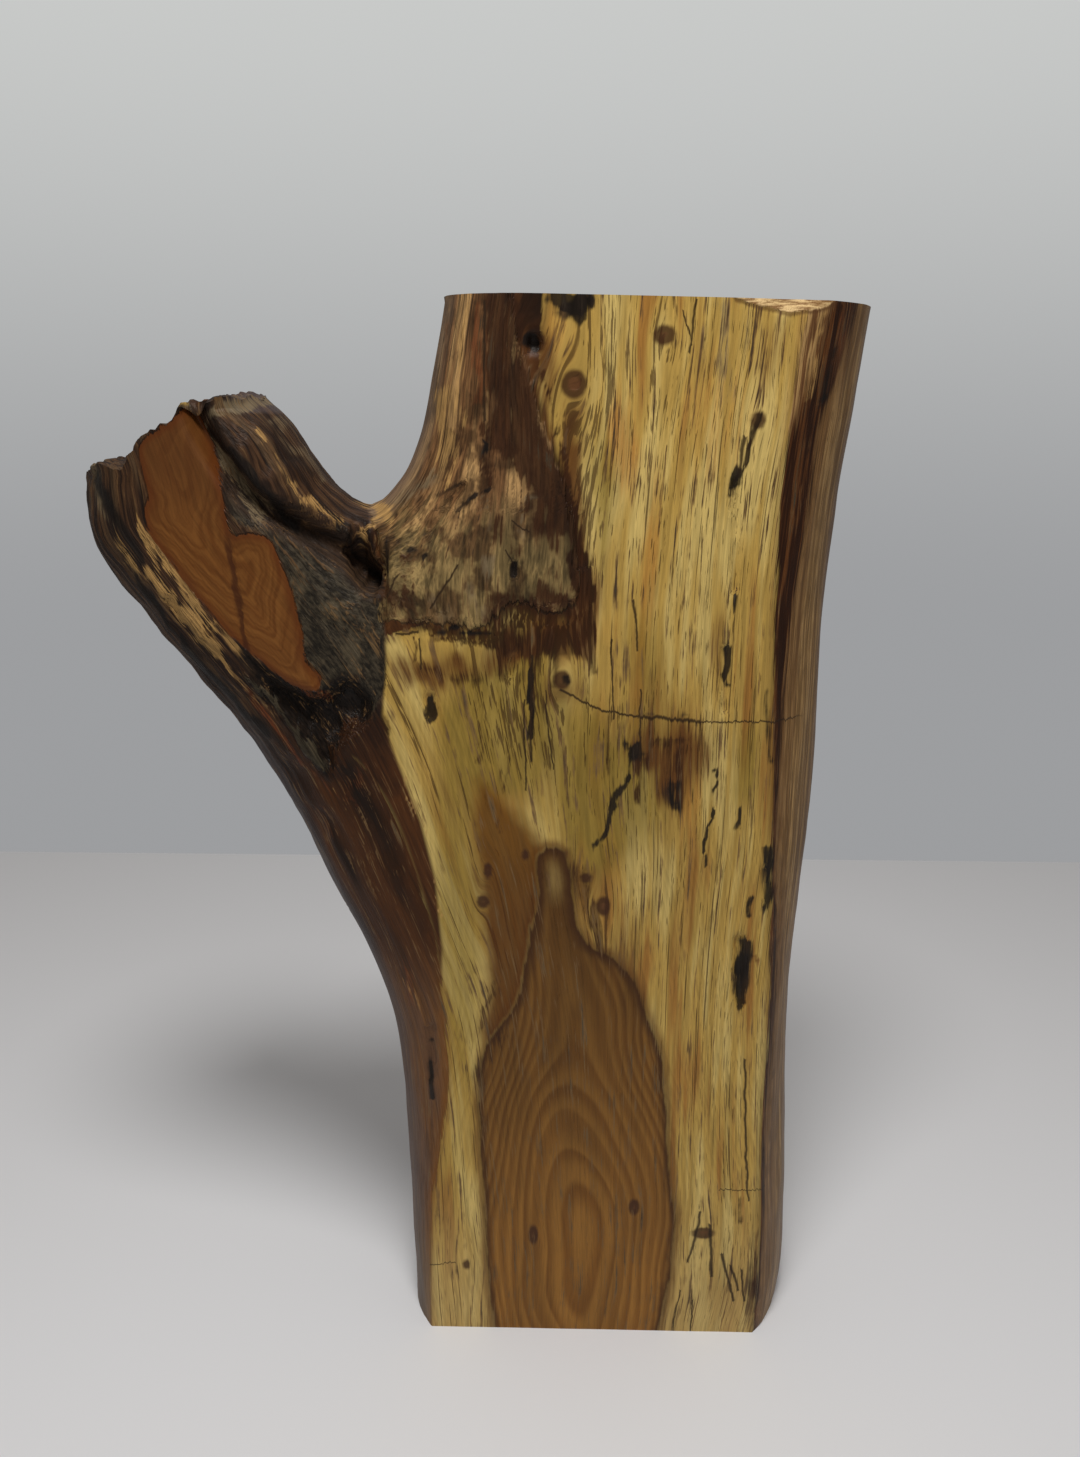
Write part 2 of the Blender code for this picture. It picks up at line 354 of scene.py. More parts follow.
# %% Branch grid
def branch_grid():
    """A Coons patch: the blend of the two side borders, plus the blend of the two end borders,
    less the blend of the four corners that both of them count."""
    s = np.linspace(0.0, 1.0, fork_rows + 1)[None, :]
    t = np.linspace(0.0, 1.0, BRANCH_ROWS + 1)[:, None]
    s = mix(s, (1.0 - np.cos(math.pi * s)) / 2, ramp(t, 0.0, ROOT_EASE))
    below = lower_edge[lower_edge[:, 1] >= BRANCH_FOOT_HEIGHT][:, :2]
    lower = at_share(np.concatenate([[branch_foot], below]), t)
    above = crotch_edge[crotch_edge[:, 0] <= crotch[0]][::-1, :2]
    upper = at_share(np.concatenate([[crotch], above]), t)
    root = mix(branch_foot, crotch, s[..., None])
    end = at_share(np.array(BROKEN_END), s)
    s = s[..., None]
    t = t[..., None]
    ends = (1 - t) * root + t * end
    sides = (1 - s) * lower + s * upper
    corners = mix(mix(branch_foot, crotch, s), mix(lower[-1:], upper[-1:], s), t)
    return ends + sides - corners


branch = branch_grid()
print("branch grid:", branch.shape[:2])

# %% [markdown]
# ## The rounded skin and the saw planes
#
# A trunk's skin is round, and the saw took it off flat. So the depth at each point comes from
# its distance to the nearest outline: an arc that starts at the outline's widest line and rises
# to the front. Where the arc would pass the saw plane, the plane wins. The back is the same with
# its own plane, and behind the branch no saw ever reached, so it keeps its whole round. A bevel
# would be as wide everywhere, and real skin shows wide in one place and narrow in the next.


# %% Skin depths
BRANCH_STARTS, BRANCH_FREE = 66.0, 112.0
FAR = 1000.0


def arc(inward, width, rise):
    """Height of the skin over its widest line, inward from the outline: a circle that reaches
    its rise at the given width, or a quarter ellipse where the width is the larger."""
    share = inward / width
    k = np.maximum((rise**2 + width**2) / (2 * width**2), 1.0)
    share = np.where(k > 1.0, np.minimum(share, k), np.minimum(share, 1.0))
    return rise * np.sqrt((2 * k * share - share**2) / (2 * k - 1))


def measure(plan, on_outline):
    """For each (x, z): the front and back y, the skin's width less the distance inward (above
    zero on the skin, below it on the sawn face), and that distance. The round of the back
    passes from the trunk's to the branch's as x goes out."""
    out = ramp(-plan[..., 0], BRANCH_STARTS, BRANCH_FREE)
    reads = [nearest(edge, plan) for edge in (lower_edge, crotch_edge, right_edge)]
    gaps = np.stack([gap for gap, _ in reads])
    closest = gaps.argmin(axis=0)
    front = np.full(plan.shape[:-1], -FAR)
    back = np.full(plan.shape[:-1], FAR)
    skin = np.full(plan.shape[:-1], -FAR)
    back_skin = np.full(plan.shape[:-1], -FAR)
    for order, (gap, value) in enumerate(reads):
        gap = np.where(on_outline & (closest == order), 0.0, gap)
        gaps[order] = gap
        width, rise = value[..., 2], value[..., 3]
        widest = FRONT_Y + rise
        back_width = mix(BACK_SKIN_WIDTH, BRANCH_ROUND, out)
        back_rise = mix(BACK_Y - widest, BRANCH_ROUND, out)
        front = np.maximum(front, widest - arc(gap, width, rise))
        back = np.minimum(back, widest + arc(gap, back_width, back_rise))
        skin = np.maximum(skin, width - gap)
        back_skin = np.maximum(back_skin, back_width - gap)
    return {
        "front": np.maximum(front, FRONT_Y),
        "back": np.minimum(back, BACK_Y),
        "skin": skin,
        "back_skin": back_skin,
        "inward": gaps.min(axis=0),
    }


trunk_rim = np.zeros(trunk.shape[:2], bool)
trunk_rim[:, 0] = ~in_fork
trunk_rim[:, -1] = True
branch_rim = np.zeros(branch.shape[:2], bool)
branch_rim[:, [0, -1]] = True
trunk_sizes = measure(trunk, trunk_rim)
branch_sizes = measure(branch, branch_rim)
print("front y from", round(float(branch_sizes["front"].min()), 2), "to",
      round(float(branch_sizes["front"].max()), 2))

# %% [markdown]
# ## Zones of the front
#
# The saw, the sander and the weather left different surfaces: an orange sawn heart, grey and
# black wood beside it, a weathered patch and a brown tongue. Cutting the mesh along their borders
# would make those as smooth as a knife's. So each zone is a closed outline, each point stores how
# far inside or outside it is, and the material makes the border sharp or ragged.

# %% Zone outlines, as (x, z) in millimetres
BRANCH_HEART = [
    (-128.2, 288.1), (-129.2, 293.8), (-121.9, 299.5), (-116.7, 303.5), (-112.0, 302.5),
    (-110.2, 295.4), (-108.2, 288.1), (-106.4, 280.5), (-106.2, 274.1), (-104.9, 270.1),
    (-102.1, 270.6), (-98.2, 270.4), (-95.0, 269.3), (-92.9, 264.4), (-91.1, 258.9),
    (-89.6, 252.2), (-88.1, 245.5), (-87.7, 238.6), (-87.4, 235.2), (-85.3, 232.3),
    (-83.2, 229.7), (-84.2, 226.2), (-89.6, 227.3), (-94.5, 230.2), (-99.8, 235.1),
    (-105.1, 239.7), (-112.3, 247.6), (-118.5, 256.6), (-123.8, 264.3), (-128.3, 271.9),
    (-128.7, 276.2), (-126.8, 280.5), (-127.7, 284.7),
]
BRANCH_GREY = [
    (-111.5, 301.0), (-108.5, 291.0), (-100.5, 279.5), (-88.0, 272.5), (-76.0, 264.0),
    (-66.0, 253.0), (-64.6, 240.0), (-66.5, 224.0), (-72.0, 217.5), (-80.0, 219.0),
    (-85.0, 226.0), (-88.0, 236.5), (-89.5, 250.8), (-92.5, 263.3), (-97.0, 271.0),
    (-104.0, 274.0), (-107.0, 282.0), (-110.0, 292.0),
]
WEATHERED = [
    (-66.5, 268.0), (-65.0, 255.0), (-65.7, 246.2), (-62.6, 247.0), (-55.3, 246.2),
    (-49.8, 246.4), (-45.0, 245.6), (-38.7, 244.2), (-35.1, 246.0), (-32.6, 249.3),
    (-28.7, 251.6), (-24.9, 251.2), (-18.1, 249.0), (-13.8, 250.2), (-10.8, 255.9),
    (-11.1, 262.2), (-11.8, 272.1), (-15.0, 285.2), (-20.1, 298.3), (-24.8, 312.0),
    (-27.8, 325.9), (-29.0, 345.0), (-60.0, 345.0), (-80.0, 300.0),
]
BLACK_HOLLOW = [
    (-105.4, 239.8), (-96.9, 231.9), (-83.7, 226.2), (-77.6, 230.1), (-68.9, 223.9),
    (-69.4, 217.0), (-78.9, 208.7), (-82.2, 200.3), (-91.3, 212.2), (-99.7, 224.7),
]
TONGUE = [
    (-39.5, 200.0), (-40.5, 187.5), (-39.8, 178.0), (-38.8, 165.0), (-37.2, 145.0),
    (-36.8, 130.0), (-38.4, 114.0), (-33.0, 112.0), (-24.0, 140.0), (-19.0, 165.0),
    (-17.5, 176.0), (-22.5, 183.0), (-28.0, 190.0), (-34.3, 196.5),
]
TRUNK_BORDER = [
    (-59.0, -20.0), (-58.4, 11.0), (-56.6, 52.0), (-54.3, 91.0), (-52.0, 127.0), (-51.0, 145.0),
    (-52.4, 168.0), (-56.3, 187.0), (-61.5, 203.0), (-66.4, 218.0), (-64.4, 241.0),
    (-65.0, 256.0), (-70.0, 277.0), (-78.0, 300.0), (-240.0, 320.0), (-240.0, -20.0),
]
SPLIT = [
    (-113.5, 304.0), (-111.5, 299.0), (-106.5, 289.5), (-99.5, 280.3), (-87.5, 273.0),
    (-75.0, 265.5), (-67.5, 257.5),
]


def closed_curve(points):
    """The smooth curve through the points and back to the first."""
    return smooth_curve([*points, points[0]])


def zones(plan):
    """The signed distances to every zone, and the distance to the branch's split."""
    found = {
        "branch_heart": inside(closed_curve(BRANCH_HEART), plan),
        "branch_grey": inside(closed_curve(BRANCH_GREY), plan),
        "weathered": inside(closed_curve(WEATHERED), plan),
        "black_hollow": inside(closed_curve(BLACK_HOLLOW), plan),
        "tongue": inside(closed_curve(TONGUE), plan),
        "branch_side": inside(np.array([*TRUNK_BORDER, TRUNK_BORDER[0]]), plan),
    }
    found["split"], _ = nearest(smooth_curve(SPLIT), plan)
    return found


trunk_zones = zones(trunk)
branch_zones = zones(branch)
print("zones:", ", ".join(trunk_zones))


# %% [markdown]
# ## How the grain flows
#
# Fibres run along the trunk, part below the crotch, and lean out into the branch. One number per
# point describes that: it is fixed on each outline, and inside it blends them by how near they
# are. Lines of equal value are the fibres. Knots push them aside, as a post parts a stream. A
# plain upright grain would be simpler, but it would run straight through the knots and the fork.

# %% Grain flow
OUTLINE_FLOWS = ((lower_edge, 0.0), (crotch_edge, 42.0), (right_edge, 131.0))
NEAREST_COUNTED = 0.05
KNOT_PUSH = 0.62
KNOT_STRETCH = 2.5
KNOTS = [
    # x, z, half width, half height, how far it parts the grain
    (-12.3, 309.4, 2.9, 3.1, 7.0),
    (10.8, 321.5, 2.3, 2.0, 5.0),
    (35.8, 300.6, 1.6, 1.8, 4.0),
    (-22.7, 319.7, 2.5, 2.5, 5.0),
    (-15.0, 230.1, 2.0, 2.3, 4.0),
    (-7.5, 169.3, 1.5, 1.3, 3.0),
    (-2.3, 160.2, 1.8, 2.6, 4.0),
    (-38.3, 161.1, 1.5, 1.7, 3.0),
    (-36.7, 171.5, 0.9, 2.0, 2.0),
    (-25.6, 176.5, 0.7, 1.0, 1.5),
    (-23.5, 39.1, 1.3, 3.2, 3.0),
    (9.8, 51.1, 1.5, 2.6, 3.0),
    (32.9, 41.1, 3.3, 1.9, 5.0),
    (-46.0, 26.5, 0.9, 1.4, 5.0),
]


def grain_flow(plan):
    """The blend of the outlines' values, each weighed by one over its distance. Each knot then
    adds minus a share of dx a^2 / (r^2 + a^2), which moves the fibres off its middle."""
    total = np.zeros(plan.shape[:-1])
    weights = np.zeros(plan.shape[:-1])
    for edge, flow in OUTLINE_FLOWS:
        gap, _ = nearest(edge, plan)
        weight = 1.0 / np.maximum(gap, NEAREST_COUNTED)
        total += weight * flow
        weights += weight
    flow = total / weights
    for x, z, _, _, parting in KNOTS:
        dx = plan[..., 0] - x
        dz = (plan[..., 1] - z) / KNOT_STRETCH
        flow = flow - KNOT_PUSH * dx * parting**2 / (dx**2 + dz**2 + parting**2)
    return flow


trunk_flow = grain_flow(trunk)
branch_flow = grain_flow(branch)
print("grain flow, mm:", round(float(trunk_flow.min()), 1), "to", round(float(trunk_flow.max()), 1))

# %% [markdown]
# ## Stains and knots
#
# Fungus and weather left soft stains in this wood: brown and black streaks, orange warmth and
# greenish pale patches. The black strokes also put black into the holes and fissures that the
# relief cuts, and there the black is painted shade. Noise alone would put them anywhere, so each
# is a sum of soft spots or strokes at its own place, and the material breaks their borders up
# along the fibres. Small round knots get a distance to their rims, below zero inside.

# %% Soft spots: x, z, half width, half height in millimetres, and strength
STAINS = {
    "brown": [
        (-15.5, 304.0, 6.5, 27.0, 0.3), (-12.7, 278.0, 3.4, 26.0, 0.85),
        (-19.9, 315.5, 3.1, 12.0, 0.6),
        (-8.8, 252.9, 4.9, 12.6, 0.9), (-24.0, 241.6, 13.9, 6.2, 0.9),
        (-32.4, 235.8, 11.2, 4.6, 0.6), (-15.5, 227.2, 7.0, 4.4, 0.6),
        (7.5, 209.6, 5.7, 7.5, 0.6), (15.9, 195.9, 4.6, 8.1, 0.7), (21.7, 211.2, 11.4, 9.0, 0.3),
        (3.8, 142.1, 6.7, 18.7, 0.6), (-2.7, 167.1, 5.3, 9.6, 0.45), (-41.6, 161.7, 3.6, 19.8, 0.4),
        (36.5, 319.1, 5.6, 12.0, 0.45), (20.8, 320.3, 2.3, 10.8, 0.45),
        (18.0, 207.0, 8.5, 13.0, 0.75), (-52.0, 233.0, 12.6, 6.0, 0.8),
        (37.8, 19.8, 8.4, 14.7, 0.4), (28.7, 241.9, 2.8, 11.2, 0.5),
        (-53.0, 104.0, 5.0, 30.0, 0.35), (11.5, 226.0, 6.0, 9.0, 0.45),
    ],
    "dark": [
        (-12.3, 328.3, 4.3, 3.2, 1.0), (30.6, 284.7, 1.5, 2.6, 0.6), (31.5, 241.9, 1.7, 8.0, 0.3),
        (21.3, 218.6, 5.1, 1.0, 0.6), (11.4, 219.6, 4.5, 1.0, 0.5), (5.3, 205.0, 2.6, 8.4, 0.55),
        (15.9, 195.9, 2.6, 5.6, 0.8), (40.4, 139.2, 3.3, 10.2, 0.9), (45.4, 172.5, 2.1, 6.4, 0.7),
        (-23.2, 224.2, 1.1, 5.4, 1.0), (-19.0, 241.6, 2.2, 8.4, 0.6), (-16.4, 176.3, 4.7, 2.6, 0.8),
        (-56.5, 109.6, 1.9, 10.8, 0.7), (52.0, 18.1, 4.7, 18.9, 0.6), (-15.5, 227.2, 2.2, 2.3, 0.5),
    ],
    "orange": [
        (0.4, 295.5, 4.7, 15.0, 0.6), (-16.0, 320.3, 6.1, 12.0, 0.3), (8.7, 263.9, 3.3, 27.0, 0.5),
        (25.9, 300.6, 10.4, 17.5, 0.3), (-0.4, 172.0, 5.9, 19.2, 0.4),
        (22.4, 194.4, 4.3, 12.4, 0.5),
        (-32.8, 193.9, 8.7, 12.4, 0.4), (-15.6, 241.6, 16.6, 8.4, 0.4),
    ],
    "green": [
        (-4.6, 279.9, 3.7, 24.3, 0.6), (8.1, 238.9, 8.3, 14.0, 0.4),
        (-32.6, 218.2, 11.4, 18.0, 0.6),
        (37.7, 203.7, 5.1, 15.5, 0.6), (-2.2, 187.9, 5.8, 15.5, 0.5), (-15.2, 166.9, 3.9, 6.6, 1.0),
        (-54.0, 60.5, 7.2, 27.3, 0.3), (-6.7, 200.3, 5.8, 18.6, 0.5),
        (-28.0, 218.0, 20.0, 26.0, 0.7), (-4.0, 190.0, 14.0, 26.0, 0.6),
        (-46.0, 150.0, 8.0, 70.0, 0.6), (12.0, 205.0, 12.0, 26.0, 0.5),
    ],
    "fleck": [
        (-10.0, 290.0, 9.0, 38.0, 1.3), (-30.0, 222.0, 14.0, 18.0, 1.9),
        (8.0, 318.0, 12.0, 10.0, 0.5),
        (22.0, 290.0, 26.0, 70.0, 0.8), (40.0, 90.0, 12.0, 100.0, 0.8),
        (15.0, 200.0, 28.0, 45.0, 0.7),
        (-8.0, 300.0, 10.0, 40.0, 0.8), (-20.0, 215.0, 18.0, 25.0, 1.1),
        (38.0, 30.0, 12.0, 30.0, 0.5),
    ],
}
print("soft spots:", {name: len(spots) for name, spots in STAINS.items()})


# %% Strokes: start x, z, end x, z, half width in millimetres, and strength
STROKES = {
    "pale": [
        (-129.4, 271.6, -123.7, 262.9, 1.4, 0.8), (-123.7, 262.9, -117.5, 253.0, 1.5, 0.9),
        (-117.5, 253.0, -112.0, 244.8, 1.4, 0.9), (-112.0, 244.8, -106.9, 238.8, 1.0, 0.7),
        (-47.3, 306.8, -46.3, 284.6, 3.0, 0.9), (-71.8, 280.3, -64.5, 274.5, 1.9, 0.7),
        (-135.8, 261.8, -132.9, 257.9, 1.4, 0.7), (-98.0, 297.9, -97.2, 293.8, 0.8, 0.7),
        (-90.4, 285.0, -85.9, 279.7, 0.4, 0.8), (-85.9, 279.7, -76.0, 272.3, 0.8, 0.9),
        (-92.7, 290.2, -89.7, 283.4, 0.4, 0.6), (-136.6, 269.4, -133.6, 261.2, 1.4, 0.9),
        (-128.8, 259.3, -123.9, 252.4, 1.9, 1.0), (-123.9, 252.4, -117.0, 242.8, 1.7, 0.9),
        (-118.8, 247.3, -112.7, 236.8, 2.4, 1.1), (-112.7, 236.8, -108.9, 231.6, 1.4, 0.9),
        (-130.0, 274.3, -125.2, 256.8, 0.7, 0.6), (-138.7, 279.6, -135.8, 275.6, 0.7, 0.6),
        (-108.4, 230.7, -100.7, 220.1, 0.6, 0.5), (-73.7, 279.0, -66.0, 276.1, 1.9, 0.8),
        (-64.5, 274.5, -61.4, 269.1, 1.4, 0.4), (-41.1, 330.0, -43.0, 300.5, 1.3, 0.6),
        (49.5, 325.5, 48.3, 306.8, 0.9, 0.8), (52.2, 329.8, 51.2, 322.7, 0.5, 0.5),
        (-66.6, 274.5, -70.1, 270.7, 1.1, 0.7), (-61.3, 199.2, -57.8, 189.9, 0.4, 0.6),
        (-58.6, 193.6, -53.2, 177.9, 0.3, 0.6), (-82.4, 198.1, -78.5, 188.7, 0.6, 0.5),
        (-63.2, 132.6, -57.3, 123.9, 0.8, 0.4), (-52.9, 168.1, -50.6, 153.3, 0.4, 0.7),
    ],
    "ash": [
        (-111.2, 299.2, -105.8, 288.1, 1.4, 0.9), (-105.8, 288.1, -97.7, 274.4, 1.9, 0.8),
        (-107.6, 303.5, -97.3, 306.6, 2.4, 1.1), (-94.6, 300.5, -82.4, 284.0, 1.1, 0.5),
        (-98.1, 279.7, -91.5, 277.1, 1.4, 0.6), (-142.5, 288.1, -140.8, 279.6, 1.6, 0.8),
        (-141.0, 278.3, -136.3, 271.6, 1.1, 0.6), (-32.9, 326.4, -33.3, 299.3, 0.4, 0.9),
        (-35.6, 264.3, -35.4, 260.5, 1.7, 0.9), (-23.9, 280.4, -20.4, 281.5, 0.6, 0.9),
        (-20.4, 281.5, -16.4, 279.1, 0.6, 0.8), (-23.9, 279.9, -25.8, 273.8, 0.6, 0.8),
        (-36.2, 279.9, -35.0, 271.9, 1.1, 0.6), (-62.2, 277.7, -51.9, 285.1, 2.4, 0.7),
        (25.0, 329.9, 27.7, 305.6, 2.1, 0.5), (30.0, 329.8, 31.1, 319.1, 1.0, 0.4),
        (-26.6, 271.9, -21.2, 263.8, 1.1, 0.5), (-63.8, 263.7, -63.7, 252.6, 1.4, 0.5),
        (19.7, 322.7, 21.6, 315.4, 1.0, 0.3), (-40.4, 255.5, -38.3, 248.6, 1.7, 0.5),
        (-51.6, 252.7, -46.1, 248.5, 2.2, 0.4),
    ],
    # Black strokes: real black stains and streaks, and black painted into holes and fissures as
    # painted shade.
    "soot": [
        (-109.4, 298.4, -99.2, 285.5, 1.6, 0.9), (-99.2, 285.5, -86.8, 273.3, 1.6, 0.9),
        (-141.8, 285.4, -130.6, 263.4, 1.8, 0.9), (-122.5, 238.2, -101.3, 212.3, 2.1, 1.1),
        (-134.4, 259.3, -122.4, 239.6, 1.0, 0.8), (-78.2, 272.3, -70.3, 266.4, 0.8, 0.9),
        (-94.7, 299.2, -85.5, 285.0, 0.8, 0.5), (-23.5, 320.3, -22.5, 319.6, 2.1, 1.3),
        (-17.9, 329.9, -9.0, 329.9, 2.1, 1.1), (-13.5, 328.5, -10.4, 325.6, 1.8, 1.0),
        (31.3, 287.8, 31.4, 284.7, 1.3, 1.2), (30.8, 239.0, 30.9, 232.7, 1.4, 1.0),
        (30.9, 231.6, 33.1, 227.5, 0.8, 0.9), (-52.4, 224.3, -52.3, 219.6, 1.4, 1.3),
        (-23.7, 233.5, -23.5, 213.8, 0.7, 1.2), (40.5, 148.7, 40.7, 127.4, 2.1, 1.1),
        (46.1, 178.9, 46.7, 160.1, 1.5, 0.9), (41.5, 163.3, 41.5, 157.7, 1.2, 1.0),
        (42.9, 227.6, 44.7, 206.8, 1.1, 0.6), (6.6, 212.0, 3.4, 201.3, 0.9, 1.0),
        (3.4, 201.3, 0.7, 192.3, 0.9, 0.9), (0.7, 192.3, -2.1, 184.1, 0.9, 0.9),
        (-2.1, 184.1, -5.8, 180.0, 1.0, 0.8), (17.0, 199.3, 17.8, 192.5, 2.0, 0.9),
        (4.6, 210.1, 7.0, 207.7, 1.7, 0.8), (-55.7, 113.2, -56.1, 91.1, 0.9, 1.2),
        (-28.0, 262.2, -27.7, 259.4, 1.1, 1.2), (-57.7, 266.1, -52.6, 264.8, 0.6, 1.2),
        (-41.1, 278.8, -35.1, 282.2, 0.6, 1.0), (-36.5, 295.4, -35.5, 292.9, 0.8, 1.1),
        (-64.7, 267.8, -64.3, 259.6, 0.8, 0.8), (-63.4, 274.5, -60.1, 274.5, 0.6, 0.7),
        (-49.0, 244.8, -35.1, 243.5, 0.9, 0.9), (29.0, 281.1, 30.7, 287.8, 0.7, 0.6),
        (35.7, 301.8, 34.0, 295.5, 0.5, 0.8), (34.0, 295.5, 32.2, 289.9, 0.6, 0.9),
        (28.3, 190.7, 27.3, 174.9, 0.5, 1.1), (29.4, 203.7, 28.1, 189.8, 0.4, 1.1),
        (37.0, 190.8, 36.7, 185.8, 0.7, 1.1), (-14.7, 231.3, -14.4, 229.3, 1.1, 0.8),
        (55.1, 319.1, 53.1, 305.6, 1.0, 0.7), (52.5, 305.6, 49.3, 285.3, 0.8, 0.4),
        (32.2, 254.7, 31.3, 250.8, 0.8, 0.7), (2.5, 16.9, 3.6, 12.7, 0.3, 0.2),
        (-69.9, 263.7, -67.4, 258.2, 1.1, 0.8),
    ],
    "umber": [
        (-75.2, 213.4, -68.1, 204.4, 2.9, 1.2), (-32.2, 251.9, -11.5, 249.5, 3.1, 0.8),
        (-72.4, 211.3, -65.9, 214.4, 2.9, 1.0), (-69.8, 205.9, -64.3, 196.7, 2.3, 0.8),
        (-33.6, 248.0, -9.6, 248.1, 3.3, 1.1), (-38.4, 244.9, -34.0, 243.2, 1.4, 1.0),
        (-79.6, 206.7, -67.6, 216.2, 3.8, 1.2), (-82.3, 200.3, -76.7, 196.0, 2.4, 0.7),
        (-63.9, 254.9, -56.6, 249.9, 3.2, 0.6), (-33.6, 274.6, -29.3, 266.0, 2.7, 0.6),
        (-40.9, 99.6, -33.7, 115.7, 2.5, 0.55), (-10.5, 171.2, -1.7, 145.5, 2.7, 0.5),
        (-34.4, 134.7, -39.9, 117.0, 0.9, 0.7), (-101.8, 205.6, -94.2, 196.4, 2.1, 0.5),
        (-69.9, 202.8, -64.8, 184.1, 1.7, 0.5), (-62.7, 177.8, -56.1, 151.5, 2.1, 0.5),
        (-31.4, 330.4, -30.4, 298.0, 3.9, 1.1), (-27.7, 310.5, -15.8, 274.6, 3.4, 1.0),
        (-30.4, 295.4, -19.8, 285.1, 3.7, 1.0), (-35.9, 298.0, -35.3, 285.1, 1.3, 0.9),
        (-15.8, 285.1, -11.3, 258.4, 1.9, 1.0), (-22.5, 277.8, -17.9, 267.9, 2.7, 0.7),
        (-11.6, 263.9, -8.4, 245.0, 2.2, 1.0), (-8.7, 263.9, -7.3, 240.2, 1.4, 0.7),
        (-49.6, 243.7, -32.3, 240.9, 2.5, 1.2), (-32.3, 240.9, -9.5, 241.6, 4.2, 1.2),
        (-29.5, 248.9, -11.5, 247.3, 2.5, 1.0), (-56.8, 245.9, -49.0, 244.8, 0.8, 0.9),
        (-22.6, 238.7, -22.0, 226.0, 1.4, 0.8), (-26.8, 237.3, -26.3, 228.9, 1.1, 0.7),
        (-17.8, 238.7, -17.5, 228.9, 1.1, 0.7), (-7.3, 241.7, -6.6, 233.6, 1.1, 0.9),
        (-32.4, 237.2, -32.4, 231.5, 1.7, 0.8), (-40.8, 237.2, -39.2, 232.3, 2.9, 0.7),
        (-56.0, 242.8, -55.5, 235.1, 0.6, 0.8), (-53.5, 233.4, -40.9, 230.0, 1.9, 0.5),
        (-28.3, 331.8, -26.3, 322.3, 1.3, 0.9), (-12.6, 279.9, -7.4, 252.9, 1.1, 0.7),
        (-17.0, 298.0, -10.4, 274.6, 0.8, 0.7), (-19.9, 312.5, -17.0, 298.0, 0.8, 0.7),
        (-58.9, 263.7, -58.8, 252.7, 2.8, 0.5), (-63.9, 255.4, -63.4, 247.0, 1.7, 0.7),
        (-21.2, 255.6, -15.7, 251.2, 2.2, 0.6), (-1.1, 211.0, -0.4, 203.4, 0.9, 0.7),
        (11.7, 211.1, 21.6, 214.2, 0.9, 0.8), (16.6, 209.6, 18.3, 194.4, 3.4, 0.7),
        (7.6, 206.5, 8.5, 194.3, 1.8, 0.8), (24.2, 218.7, 25.9, 206.7, 0.9, 0.5),
        (12.7, 224.5, 13.6, 215.6, 0.6, 0.5), (21.1, 224.5, 21.5, 216.9, 0.6, 0.5),
        (-38.2, 224.1, -37.9, 206.2, 0.9, 0.5), (-31.1, 224.2, -30.8, 193.9, 0.6, 0.5),
        (-19.8, 224.2, -18.9, 200.2, 0.6, 0.4), (-32.7, 203.1, -32.9, 184.5, 0.6, 0.3),
        (50.8, 129.0, 53.6, 62.6, 0.9, 0.4), (49.1, 40.7, 52.6, 13.9, 1.0, 0.5),
        (45.0, 54.6, 44.1, 46.6, 1.0, 0.6), (50.1, 149.5, 50.5, 132.5, 1.2, 0.5),
    ],
    "red": [
        (-105.1, 226.6, -100.8, 218.9, 1.2, 0.9), (-100.8, 218.9, -90.7, 205.1, 0.9, 0.9),
        (-90.7, 205.1, -79.7, 193.4, 0.9, 0.5), (-38.5, 330.0, -37.4, 305.6, 1.3, 0.8),
        (-35.6, 322.8, -35.3, 305.6, 0.8, 0.5), (-46.8, 325.2, -45.8, 305.6, 0.8, 0.4),
        (-73.4, 202.8, -76.8, 193.5, 2.3, 0.4), (-88.6, 193.4, -83.6, 177.5, 2.4, 0.3),
        (-62.6, 141.2, -61.0, 123.8, 1.3, 0.6), (54.9, 327.4, 57.2, 317.8, 0.8, 0.5),
        (43.1, 144.4, 44.5, 142.0, 1.0, 1.0), (-89.3, 226.7, -80.9, 223.8, 1.1, 0.9),
    ],
    "flake": [
        (-104.3, 231.9, -90.3, 212.4, 0.5, 0.9), (-90.3, 212.4, -84.7, 203.3, 0.9, 1.0),
    ],
}


def stroke(plan, strokes):
    """The sum of soft strokes, strength times exp(-r^3) each, where r is the distance to the
    straight line in half widths, on the same shaken place."""
    shake = np.stack([wander(plan[..., 0] / 3.0, 4.0, plan[..., 1] / 5.0),
                      wander(plan[..., 0] / 3.0, 7.0, plan[..., 1] / 5.0)], axis=-1)
    total = np.zeros(plan.shape[:-1])
    for x0, z0, x1, z1, half, strength in strokes:
        gap = nearest(np.array([(x0, z0), (x1, z1 + 0.01)]), plan + 1.3 * shake)[0]
        total += strength * np.exp(-((gap / half) ** 3))
    return total


print("strokes:", {name: len(strokes) for name, strokes in STROKES.items()})


# %% Lay the stains
def stain(plan, spots):
    """The sum of soft spots, strength times exp(-r^3) each, where r is the distance in half
    sizes. The place is shaken by two millimetres first, so no spot is a plain oval."""
    shake = np.stack([wander(plan[..., 0] / 7.0, 5.0, plan[..., 1] / 12.0),
                      2.0 * wander(plan[..., 0] / 5.0, 9.0, plan[..., 1] / 9.0)], axis=-1)
    place = plan + 1.6 * shake
    total = np.zeros(plan.shape[:-1])
    for x, z, wide, tall, strength in spots:
        r = np.hypot((place[..., 0] - x) / wide, (place[..., 1] - z) / tall)
        total += strength * np.exp(-(r**3))
    return total


CLEAR_OF_KNOTS = 30.0
CHIP = [(28.5, 330.2), (36.0, 328.2), (42.1, 326.6), (47.4, 327.2), (54.0, 329.0), (57.0, 345.0),
        (28.0, 345.0)]


